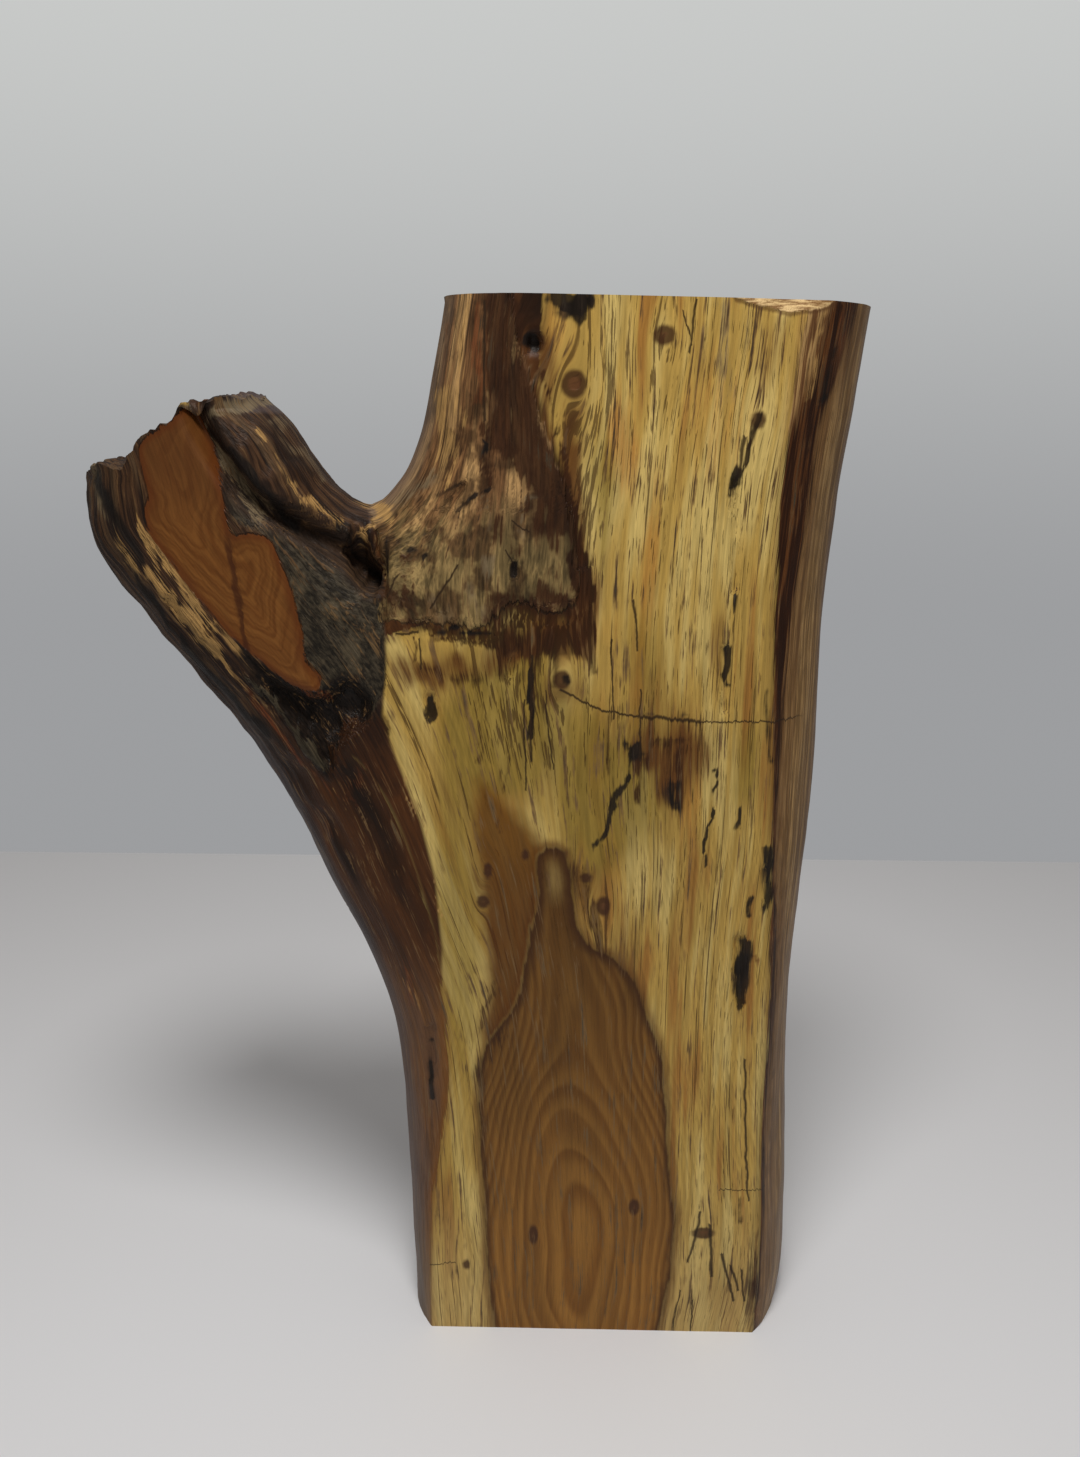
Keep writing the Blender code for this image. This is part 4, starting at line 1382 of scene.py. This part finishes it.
near_rim = heart.ease(heart.maths("DIVIDE", edge, rim), -1.0, -0.1, 0.0, 0.9)
wood = heart.blend(near_rim, wood, seen(50, 27, 8))
halo = heart.times(heart.ease(edge, -0.5, 3.4, 0.85, 0.0), heart.less(1.0, share))
around = heart.shade(heart.taken["Colour"], heart.maths("MULTIPLY_ADD", line, -0.12, 1.0))
around = heart.blend(halo, around, seen(80, 48, 18))
heart.feed(heart.given["Colour"], heart.blend(share, around, wood))
heart.feed(heart.given["Share"], share)
print("one ring, mm:", round(1.0 / RINGS_PER_MM, 2), "heartwood nodes:", len(heart.tree.nodes))

# %% [markdown]
# ## Live edge
#
# The skin under the bark is ribbed. The right side has a dark, streaked band and then a tan one.
# The lower side of the branch is smooth, dark red-brown, with purple-black stripes. How deep
# under the sawn face a point lies sets its place in the bands, so they follow the edge as it
# widens. The skin starts as a feathered brown border, where the sander thinned it.

# %% Live edge group
skin = new_group("live_edge", GRAIN, ("Colour", "Share", "Height"))
g = skin.taken
x, y, z = skin.millimetres()
depth = shaken(skin, skin.stored("skin"), g, by_band=2.4, by_streak=3.6, by_fine=1.8)
share = skin.maths("MAXIMUM", skin.ease(depth, -0.3, 0.5), skin.ease(depth, -3.0, 0.2, 0.0, 0.4))
dark_start = skin.less(shaken(skin, depth, g, by_streak=7.0), skin.ease(z, 276.0, 322.0, -3.0, 5.5))
dark_end = skin.add(skin.ease(z, 195.0, 300.0, 1.6, 8.8), skin.ease(z, 296.0, 318.0, 0.0, 4.5))
past = skin.less(depth, dark_end)
band_share = skin.times(skin.ease(dark_start, -0.8, 0.8), skin.ease(past, 0.8, -0.8))
tan = skin.blend(skin.ease(g["Streak"], 0.46, 0.60), seen(108, 82, 48), seen(140, 112, 72))
tan = skin.blend(skin.ease(g["Band"], 0.50, 0.42, 0.0, 0.5), tan, seen(80, 54, 28))
tan = skin.blend(skin.ease(past, 6.5, 0.5, 0.0, 0.7), tan, seen(92, 64, 36))
band = skin.blend(skin.ease(g["Streak"], 0.46, 0.62), seen(38, 17, 4), seen(76, 44, 18))
right = skin.blend(band_share, tan, band)
cream = skin.times(skin.ease(dark_start, 0.5, -1.5), skin.ease(z, 286.0, 306.0, 0.0, 0.8))
cream_wood = skin.blend(skin.ease(g["Streak"], 0.42, 0.56), seen(92, 60, 34), seen(150, 120, 76))
right = skin.blend(cream, right, cream_wood)
right = skin.blend(skin.ease(skin.stored("inward"), 4.5, 1.0, 0.0, 0.7), right, seen(96, 76, 66))
left = skin.blend(skin.ease(depth, 0.4, 3.2), seen(96, 60, 22), seen(84, 58, 38))
left = skin.blend(skin.ease(z, 60.0, 10.0, 0.0, 0.5), left, seen(112, 92, 64))
left = skin.blend(skin.ease(g["Band"], 0.5, 0.62, 0.0, 0.6), left, seen(96, 62, 28))
high = skin.blend(skin.ease(g["Tone"], 0.36, 0.66), seen(24, 11, 3), seen(62, 34, 11))
left = skin.blend(skin.ease(z, 118.0, 150.0), left, high)
outer = skin.times(skin.ease(skin.stored("inward"), 8.0, 2.5), skin.ease(z, 90.0, 150.0, 0.5, 0.8))
left = skin.blend(outer, left, seen(58, 50, 50))
colour = skin.blend(skin.ease(x, -20.0, 20.0), left, right)
colour = skin.shade(colour, skin.ease(g["Streak"], 0.34, 0.60, 0.78, 1.12))
colour = skin.shade(colour, skin.ease(g["Fine"], 0.32, 0.60, 0.78, 1.12))
skin.feed(skin.given["Colour"], colour)
skin.feed(skin.given["Share"], share)
height = skin.add(skin.times(0.20, g["Fine"]), skin.times(0.22, g["Streak"]))
skin.feed(skin.given["Height"], height)
print("live edge nodes:", len(skin.tree.nodes))

# %% [markdown]
# ## Weathered wood
#
# Below the crotch and beside the branch the wood was never sanded. Rain and sun turned it grey
# and brown and opened it into furrows. Towards the top it is ribbed tan and red-brown. The same
# fine noises that darken it also feed its bump, so each dark line is a groove.

# %% Weathered group
worn = new_group("weathered", GRAIN, ("Colour", "Height"))
g = worn.taken
x, y, z = worn.millimetres()
colour = worn.blend(worn.ease(g["Tone"], 0.38, 0.60), seen(88, 71, 42), seen(122, 102, 64))
ribs = worn.blend(worn.ease(g["Band"], 0.40, 0.60), seen(100, 70, 42), seen(150, 118, 76))
upwards = worn.ease(shaken(worn, z, g, by_streak=30.0, by_lump=20.0), 262.0, 282.0)
colour = worn.blend(upwards, colour, ribs)
colour = worn.blend(worn.ease(g["Lump"], 0.48, 0.62, 0.0, 0.8), colour, seen(64, 43, 23))
colour = worn.shade(colour, worn.ease(g["Streak"], 0.36, 0.60, 0.55, 1.18))
colour = worn.shade(colour, worn.ease(x, -42.0, -18.0, 1.0, 0.80))
colour = worn.shade(colour, worn.ease(g["Fine"], 0.34, 0.62, 0.52, 1.22))
rim = worn.ease(worn.stored("inward"), 6.0, 1.5, 0.0, 0.75)
rim_wood = worn.shade(seen(92, 76, 62), worn.ease(g["Fine"], 0.3, 0.62, 0.7, 1.15))
colour = worn.blend(rim, colour, rim_wood)
worn.feed(worn.given["Colour"], colour)
worn.feed(worn.given["Height"], worn.add(worn.times(0.55, g["Fine"]), worn.times(0.6, g["Streak"])))
print("weathered nodes:", len(worn.tree.nodes))

# %% [markdown]
# ## Hairline cracks
#
# A drying crack runs across the grain, with black bled into the fibres beside it, and finer
# ones run along it. They are far thinner than the mesh, so they aren't stored on its points: the
# material works out the distance to short straight lines.

# %% Hairline group
HAIRLINES = [
    # start x, z, end x, z, half width in millimetres
    (-15.5, 227.2, -4.2, 221.4, 0.35),
    (-4.2, 221.4, 7.2, 219.6, 0.35),
    (7.2, 219.6, 24.2, 218.1, 0.55),
    (24.2, 218.1, 60.9, 218.3, 0.25),
    (43.1, 107.5, 45.2, 72.0, 0.4),
    (45.2, 72.0, 47.0, 54.6, 0.35),
    (37.6, 58.4, 52.3, 58.7, 0.2),
    (-58.3, 25.9, -49.9, 27.4, 0.2),
    (-43.9, 262.1, -47.6, 256.0, 0.3),
    (-47.6, 256.0, -51.1, 250.5, 0.3),
    (-40.5, 279.3, -43.8, 276.7, 0.45),
    (-28.3, 262.2, -30.7, 266.0, 0.25),
    (-62.4, 271.8, -64.3, 259.6, 0.5),
    (-35.4, 330.0, -35.9, 300.5, 0.35),
    (-59.9, 280.3, -55.7, 276.6, 0.35),
    (-28.7, 274.0, -23.9, 271.4, 0.25),
    (-63.7, 253.2, -60.7, 259.3, 0.25),
    (-55.2, 241.4, -54.7, 233.4, 0.25),
    (-23.7, 237.3, -23.8, 206.3, 0.4),
    (-25.7, 224.2, -25.2, 197.1, 0.25),
    (-19.5, 227.2, -17.7, 203.3, 0.2),
    (-1.2, 241.7, -0.1, 218.5, 0.25),
    (4.7, 252.9, 5.8, 238.9, 0.3),
    (7.0, 227.4, 7.8, 206.5, 0.25),
    (18.2, 329.9, 17.4, 317.4, 0.3),
    (15.2, 327.5, 17.8, 319.1, 0.2),
    (35.7, 301.8, 32.8, 289.1, 0.6),
    (31.1, 285.2, 32.4, 296.0, 0.5),
    (31.5, 49.6, 30.1, 36.2, 0.45),
    (30.1, 36.2, 28.4, 29.2, 0.4),
    (35.0, 44.4, 36.6, 24.0, 0.6),
    (39.6, 32.3, 44.2, 13.7, 0.5),
    (42.8, 28.3, 45.7, 17.9, 0.45),
    (46.6, 26.3, 47.9, 13.8, 0.4),
    (24.1, 0.3, 26.2, 17.5, 0.3),
    (30.3, -0.4, 31.0, 13.4, 0.3),
    (-61.0, 243.0, -55.5, 243.6, 0.4),
    (-49.5, 280.5, -43.5, 283.5, 0.5),
]
lines = new_group("hairlines", GRAIN, ("Share",))
g = lines.taken
x, y, z = lines.millimetres()
z_shaken = shaken(lines, z, g, by_streak=2.2, by_fine=1.6)
x_shaken = lines.maths("MULTIPLY_ADD", lines.less(g["Lump"], 0.5), 2.2, x)
share = 0.0
for x0, z0, x1, z1, half in HAIRLINES:
    length = math.hypot(x1 - x0, z1 - z0)
    ux, uz = (x1 - x0) / length, (z1 - z0) / length
    dx, dz = lines.less(x_shaken, x0), lines.less(z_shaken, z0)
    run = lines.add(lines.times(dx, ux), lines.times(dz, uz))
    off = lines.maths("ABSOLUTE", lines.less(lines.times(dx, uz), lines.times(dz, ux)))
    past_end = lines.less(lines.maths("ABSOLUTE", lines.less(run, length / 2)), length / 2)
    off = lines.maths("MAXIMUM", off, past_end)
    share = lines.maths("MAXIMUM", lines.ease(off, 1.6 * half, 0.3 * half), share)
lines.feed(lines.given["Share"], lines.times(share, lines.ease(y, -20.0, -26.0)))
print("hairlines:", len(HAIRLINES))

# %% [markdown]
# ## The slab's material
#
# One piece of wood could carry a material for each finish, but then every border would follow
# the mesh's faces. So one material lays the finishes over each other as they lie on the slab:
# sapwood, the heartwood's arch, stains and knots, and the live edges.

# %% Start the material
wood = bpy.data.materials.new("oiled_slab_wood")
wood.use_nodes = True
bench = Bench(wood.node_tree)
shader = wood.node_tree.nodes["Principled BSDF"]
g = bench.use(grain.tree)
shared = {name: g[name] for name in GRAIN}
x, y, z = bench.millimetres()
sapwood = bench.use(sap.tree, shared)
heartwood = bench.use(heart.tree, {"Colour": sapwood["Colour"], **shared})
live = bench.use(skin.tree, shared)
weathered = bench.use(worn.tree, shared)
colour = heartwood["Colour"]
height = sapwood["Height"]
dull = bench.ease(g["Fine"], 0.3, 0.7, 0.34, 0.46)


def lay(share, over, height_over=None, dull_over=None):
    """Lay one finish over what is there, by a mask: its colour, its height and how dull it is."""
    global colour, height, dull
    colour = bench.blend(share, colour, over)
    if height_over is not None:
        height = bench.between(share, height, height_over)
    if dull_over is not None:
        dull = bench.between(share, dull, dull_over)


print("shared grain values:", len(shared))

# %% The sanded face: the brown tongue beside the arch, knots and hairlines
tongue = shaken(bench, bench.stored("tongue"), g, 2.0, 3.0, 2.0, 3.0)
tongue = bench.times(bench.ease(tongue, -3.5, 3.0, 0.0, 0.92), bench.less(1.0, heartwood["Share"]))
tongue_wood = bench.blend(bench.ease(z, 205.0, 150.0), seen(92, 58, 11), seen(73, 38, 4))
lay(tongue, bench.shade(tongue_wood, bench.ease(g["Fine"], 0.3, 0.62, 0.82, 1.10)))
knot = shaken(bench, bench.stored("knot"), g, by_fine=1.2, by_streak=0.8)
lay(bench.ease(knot, 1.2, -0.2, 0.0, 0.9), seen(52, 28, 14))
lay(bench.ease(knot, -0.8, -2.0, 0.0, 0.7), seen(88, 56, 32))
print("nodes with the sanded face:", len(wood.node_tree.nodes))

# %% The live edges
LIVE_DULL = 0.46
lay(live["Share"], live["Colour"], live["Height"], LIVE_DULL)
print("nodes with the live edges:", len(wood.node_tree.nodes))

# %% [markdown]
# ## The branch
#
# The branch was cut by the saw only on its front. Its skin is dark and ribbed above, and smooth
# below like the trunk's left edge. Beside its orange heart lies wood that turned grey and black
# before it was cut, with a deep split over it, and the split is painted dark as painted shade.
# All of it is masks from the zones' distances, laid from the outside in, because that is how each
# part covers the next.

# %% The branch's skin, above and below
side = bench.ease(bench.stored("branch_side"), -0.8, 0.8)
branch_skin = bench.blend(bench.ease(g["Streak"], 0.40, 0.62), seen(26, 15, 9), seen(58, 38, 22))
pale_bands = bench.ease(g["Band"], 0.54, 0.64, 0.0, 0.35)
branch_skin = bench.blend(pale_bands, branch_skin, seen(94, 72, 48))
branch_skin = bench.shade(branch_skin, bench.ease(g["Fine"], 0.3, 0.62, 0.6, 1.25))
low_branch = bench.times(side, bench.ease(z, 245.0, 228.0))
low_branch = bench.times(low_branch, bench.ease(bench.stored("skin"), 2.0, -1.0))
lay(low_branch, live["Colour"], live["Height"], LIVE_DULL)
lay(bench.times(side, bench.ease(z, 200.0, 226.0)), branch_skin, weathered["Height"], 0.55)

print("nodes with the branch's skin:", len(wood.node_tree.nodes))

# %% The grey, black and split parts beside the branch's heart
grey = shaken(bench, bench.stored("branch_grey"), g, by_streak=3.0, by_fine=2.0)
speck = bench.noise(bench.place(bench.times(bench.stored("flow"), 1.9), bench.times(y, 1.0),
                                bench.times(z, 0.45)), 3.0, 0.7)
grey_wood = bench.blend(bench.ease(speck, 0.36, 0.68), seen(24, 20, 14), seen(58, 51, 39))
grey_wood = bench.blend(bench.ease(g["Lump"], 0.55, 0.68, 0.0, 0.45), grey_wood, seen(84, 74, 56))
grey_wood = bench.shade(grey_wood, bench.ease(g["Streak"], 0.34, 0.6, 0.6, 1.15))
lay(bench.ease(grey, -0.8, 1.0), grey_wood, weathered["Height"], 0.6)

black = shaken(bench, bench.stored("black_hollow"), g, by_lump=9.0, by_streak=3.0)
black_wood = bench.shade(seen(17, 11, 7), bench.ease(speck, 0.4, 0.66, 0.6, 1.9))
lay(bench.ease(black, -2.0, 1.0), black_wood, weathered["Height"], 0.42)
split = shaken(bench, bench.stored("split"), g, by_streak=3.0)
# The deep split and the slope beside it are painted dark: this is painted shade of the gap.
split_painted_shade = bench.shade(seen(38, 26, 17), bench.ease(g["Streak"], 0.35, 0.6, 0.5, 1.5))
lay(bench.ease(split, 7.0, 3.5, 0.0, 0.92), split_painted_shade, weathered["Height"], 0.55)
print("nodes with the branch:", len(wood.node_tree.nodes))

# %% The orange heart of the branch, with two lobes and a seam
SEAM_X, SEAM_Z, SEAM_LEAN = -106.1, 268.4, -0.083
lobes = bench.stored("branch_heart")
seam_x = bench.maths("MULTIPLY_ADD", bench.less(z, SEAM_Z), SEAM_LEAN, SEAM_X)
seam = bench.maths("ABSOLUTE", bench.less(shaken(bench, x, g, by_lump=4.0, by_fine=1.0), seam_x))
bend = bench.add(lobes, bench.times(0.35, bench.less(z, 260.0)), bench.times(5.0, g["Lump"]))
curved = bench.noise(bench.place(bench.times(bend, 0.55), 0.0, 0.0), 1.0, 0.5)
heart_wood = bench.blend(bench.ease(curved, 0.36, 0.64), seen(83, 48, 17), seen(99, 62, 26))
heart_wood = bench.blend(bench.ease(z, 262.0, 292.0, 0.0, 0.7), heart_wood, seen(70, 41, 18))
heart_wood = bench.shade(heart_wood, bench.ease(g["Fine"], 0.3, 0.65, 0.86, 1.10))
heart_wood = bench.blend(bench.ease(lobes, 3.0, 0.4, 0.0, 0.7), heart_wood, seen(72, 34, 10))
seam_line = bench.times(bench.ease(seam, 1.1, 0.3, 0.0, 0.75), bench.ease(z, 271.4, 266.4))
heart_wood = bench.blend(seam_line, heart_wood, seen(46, 20, 8))
orange_heart = shaken(bench, lobes, g, by_fine=1.8, by_streak=1.8, by_lump=1.5)
orange_heart = bench.ease(orange_heart, -0.3, 0.3)
lay(orange_heart, heart_wood, bench.times(g["Fine"], 0.05), 0.38)
print("nodes with the branch's heart:", len(wood.node_tree.nodes))

# %% [markdown]
# ## The patch, its strokes and the chip
#
# The weathered patch ends at a dark lip. Smaller marks lie over it and the branch: red, ash, pale
# and umber fibres, black strokes and flakes. The black strokes are stains, and in the holes and
# fissures they are painted shade. Each has its own stored strokes and its own colour, and one
# short function lays them all. The top's right corner was chipped, and shows fresh pale wood.

# %% The weathered patch
patch = shaken(bench, bench.stored("weathered"), g, by_streak=5.0, by_fine=4.0)
under = bench.times(bench.ease(patch, -3.5, -0.5, 0.0, 0.9), bench.less(1.0, side))
lay(under, bench.blend(bench.ease(g["Streak"], 0.4, 0.6), seen(34, 17, 6), seen(74, 44, 18)))
lay(bench.ease(patch, -0.4, 0.6), weathered["Colour"], weathered["Height"], 0.62)
print("nodes with the patch:", len(wood.node_tree.nodes))


# %% Strokes, hairlines and the chipped corner
def mark(name, tint, low, high, most, over=None, fibres=1.0, comb=1.0):
    """Lay a stored stroke in a colour, with fibres breaking its border. Below 1, comb lets
    pale fibres show through it."""
    value = shaken(bench, bench.stored(name), g, by_streak=1.2 * fibres, by_fine=1.1 * fibres,
                   by_lump=0.5 * fibres)
    share = bench.ease(value, low, high, 0.0, most)
    if comb < 1.0:
        above_lip = bench.ease(z, 244.0, 254.0)
        combed = bench.ease(g["Fine"], 0.62, 0.50, comb, 1.0)
        share = bench.times(share, bench.maths("MAXIMUM", combed, above_lip))
    if over is not None:
        share = bench.times(share, over)
    tint = bench.shade(tint, bench.ease(g["Fine"], 0.3, 0.62, 0.72, 1.2))
    lay(share, bench.shade(tint, bench.ease(g["Streak"], 0.42, 0.64, 0.8, 1.35)))


off_heart = bench.less(1.0, orange_heart)
mark("red", seen(84, 42, 18), 0.2, 1.0, 0.75, off_heart, 1.4)
mark("ash", seen(92, 80, 60), 0.2, 1.0, 0.8, off_heart, 1.8)
mark("pale", seen(138, 108, 64), 0.3, 1.0, 0.85, off_heart, 2.0)
mark("umber", seen(40, 20, 6), 0.15, 0.9, 0.95, off_heart, 2.2, 0.6)
# Black strokes: stains, and painted shade in the holes and fissures.
mark("soot", seen(16, 11, 8), 0.2, 0.8, 0.94, off_heart)
mark("flake", seen(46, 41, 31), 0.3, 0.7, 0.85, off_heart, 1.3)
hair = bench.use(lines.tree, shared)["Share"]
lay(bench.times(hair, 0.9, off_heart), seen(36, 24, 12))
chip = shaken(bench, bench.stored("chip"), g, by_lump=1.5, by_fine=0.8)
torn = bench.noise(bench.place(bench.times(x, 0.20), bench.times(y, 0.5), bench.times(z, 1.6)),
                   3.0, 0.6)
fresh = bench.blend(bench.ease(torn, 0.40, 0.60), seen(112, 82, 48), seen(178, 152, 108))
lay(bench.ease(chip, -0.2, 0.4), fresh, bench.times(g["Fine"], 0.3), 0.55)
lay(bench.times(bench.hump(chip, -0.3, 0.9), 0.7), seen(66, 42, 22))
print("nodes with the strokes and the chip:", len(wood.node_tree.nodes))

# %% Feed the shader
OILED_GLOSS = 0.16
bench.feed(shader.inputs["Base Color"], colour)
bench.feed(shader.inputs["Roughness"], dull)
shader.inputs["Specular IOR Level"].default_value = OILED_GLOSS
bump = bench.node("ShaderNodeBump", {"Height": height, "Distance": MM, "Strength": 1.0})
bench.feed(shader.inputs["Normal"], bump.outputs[0])
wood_mesh.materials.clear()
wood_mesh.materials.append(wood)
print("material nodes:", len(wood.node_tree.nodes))

# %% [markdown]
# ## Floor, light and camera
#
# The slab stands on a plain pale floor. One soft lamp hangs over its front, a little to the
# left, so the floor shows a wide soft shadow behind and beside it, and the pale surroundings
# fill the rest. A sun lamp would give hard parallel shadows, and a small disk close by gives soft
# ones. The camera is nearly level with the slab's top and looks down at it.

# %% Floor
FLOOR_HALF = 3.0
FLOOR_BACK = 0.368
FLOOR_COLOUR = (0.74, 0.755, 0.79, 1.0)
floor_mesh = bpy.data.meshes.new("floor")
floor_mesh.from_pydata(
    [(-FLOOR_HALF, -FLOOR_HALF, 0.0), (FLOOR_HALF, -FLOOR_HALF, 0.0),
     (FLOOR_HALF, FLOOR_BACK, 0.0), (-FLOOR_HALF, FLOOR_BACK, 0.0)], [], [(0, 1, 2, 3)])
floor = bpy.data.objects.new("floor", floor_mesh)
bpy.context.scene.collection.objects.link(floor)
floor_paint = bpy.data.materials.new("floor_paint")
floor_paint.use_nodes = True
floor_shader = floor_paint.node_tree.nodes["Principled BSDF"]
floor_shader.inputs["Base Color"].default_value = FLOOR_COLOUR
floor_shader.inputs["Roughness"].default_value = 0.7
floor_mesh.materials.append(floor_paint)
print("floor, m:", 2 * FLOOR_HALF)

# %% Light
LAMP_PLACE = (-0.027, -0.262, 0.80)
LAMP_WIDTH = 0.22
LAMP_POWER = 4.1
LAMP_COLOUR = (1.0, 0.97, 0.93)
BACKDROP_LOW = (0.335, 0.34, 0.35, 1.0)
BACKDROP_HIGH = (0.59, 0.60, 0.59, 1.0)
FILL_LIGHT = (0.30, 0.287, 0.272, 1.0)
lamp_data = bpy.data.lights.new("lamp", "AREA")
lamp_data.shape = "DISK"
lamp_data.size = LAMP_WIDTH
lamp_data.energy = LAMP_POWER
lamp_data.color = LAMP_COLOUR
lamp = bpy.data.objects.new("lamp", lamp_data)
lamp.location = LAMP_PLACE
bpy.context.scene.collection.objects.link(lamp)
world = bpy.data.worlds.new("surroundings")
world.use_nodes = True
sky = Bench(world.node_tree)
backdrop = world.node_tree.nodes["Background"]
way = sky.node("ShaderNodeSeparateXYZ", {0: sky.node("ShaderNodeTexCoord").outputs["Generated"]})
pale = sky.blend(sky.ease(way.outputs[2], -0.2, 0.35), BACKDROP_LOW, BACKDROP_HIGH)
in_view = sky.node("ShaderNodeLightPath").outputs["Is Camera Ray"]
sky.feed(backdrop.inputs["Color"], sky.blend(in_view, FILL_LIGHT, pale))
bpy.context.scene.world = world
print("lamp height, m:", lamp.location.z)

# %% Camera
LENS, FILM_WIDTH = 27.0, 36.0
CAMERA_PLACE = (-0.0139, -0.3268, 0.308)
LOOKS_DOWN = math.radians(17.2)
TURNS_LEFT = math.radians(1.4)
camera_data = bpy.data.cameras.new("camera")
camera_data.lens = LENS
camera_data.sensor_width = FILM_WIDTH
camera_data.clip_start = 0.01
camera = bpy.data.objects.new("camera", camera_data)
camera.location = CAMERA_PLACE
camera.rotation_euler = (math.radians(90.0) - LOOKS_DOWN, 0.0, TURNS_LEFT)
bpy.context.scene.collection.objects.link(camera)
bpy.context.scene.camera = camera
bpy.context.scene.view_settings.view_transform = "Standard"
print("lens, mm:", camera_data.lens)

# %% [markdown] ## Finish The last step brings the scene up to date.
# The fine surface may pass the solid model only by a little.

# %% Finish
bpy.context.view_layer.update()
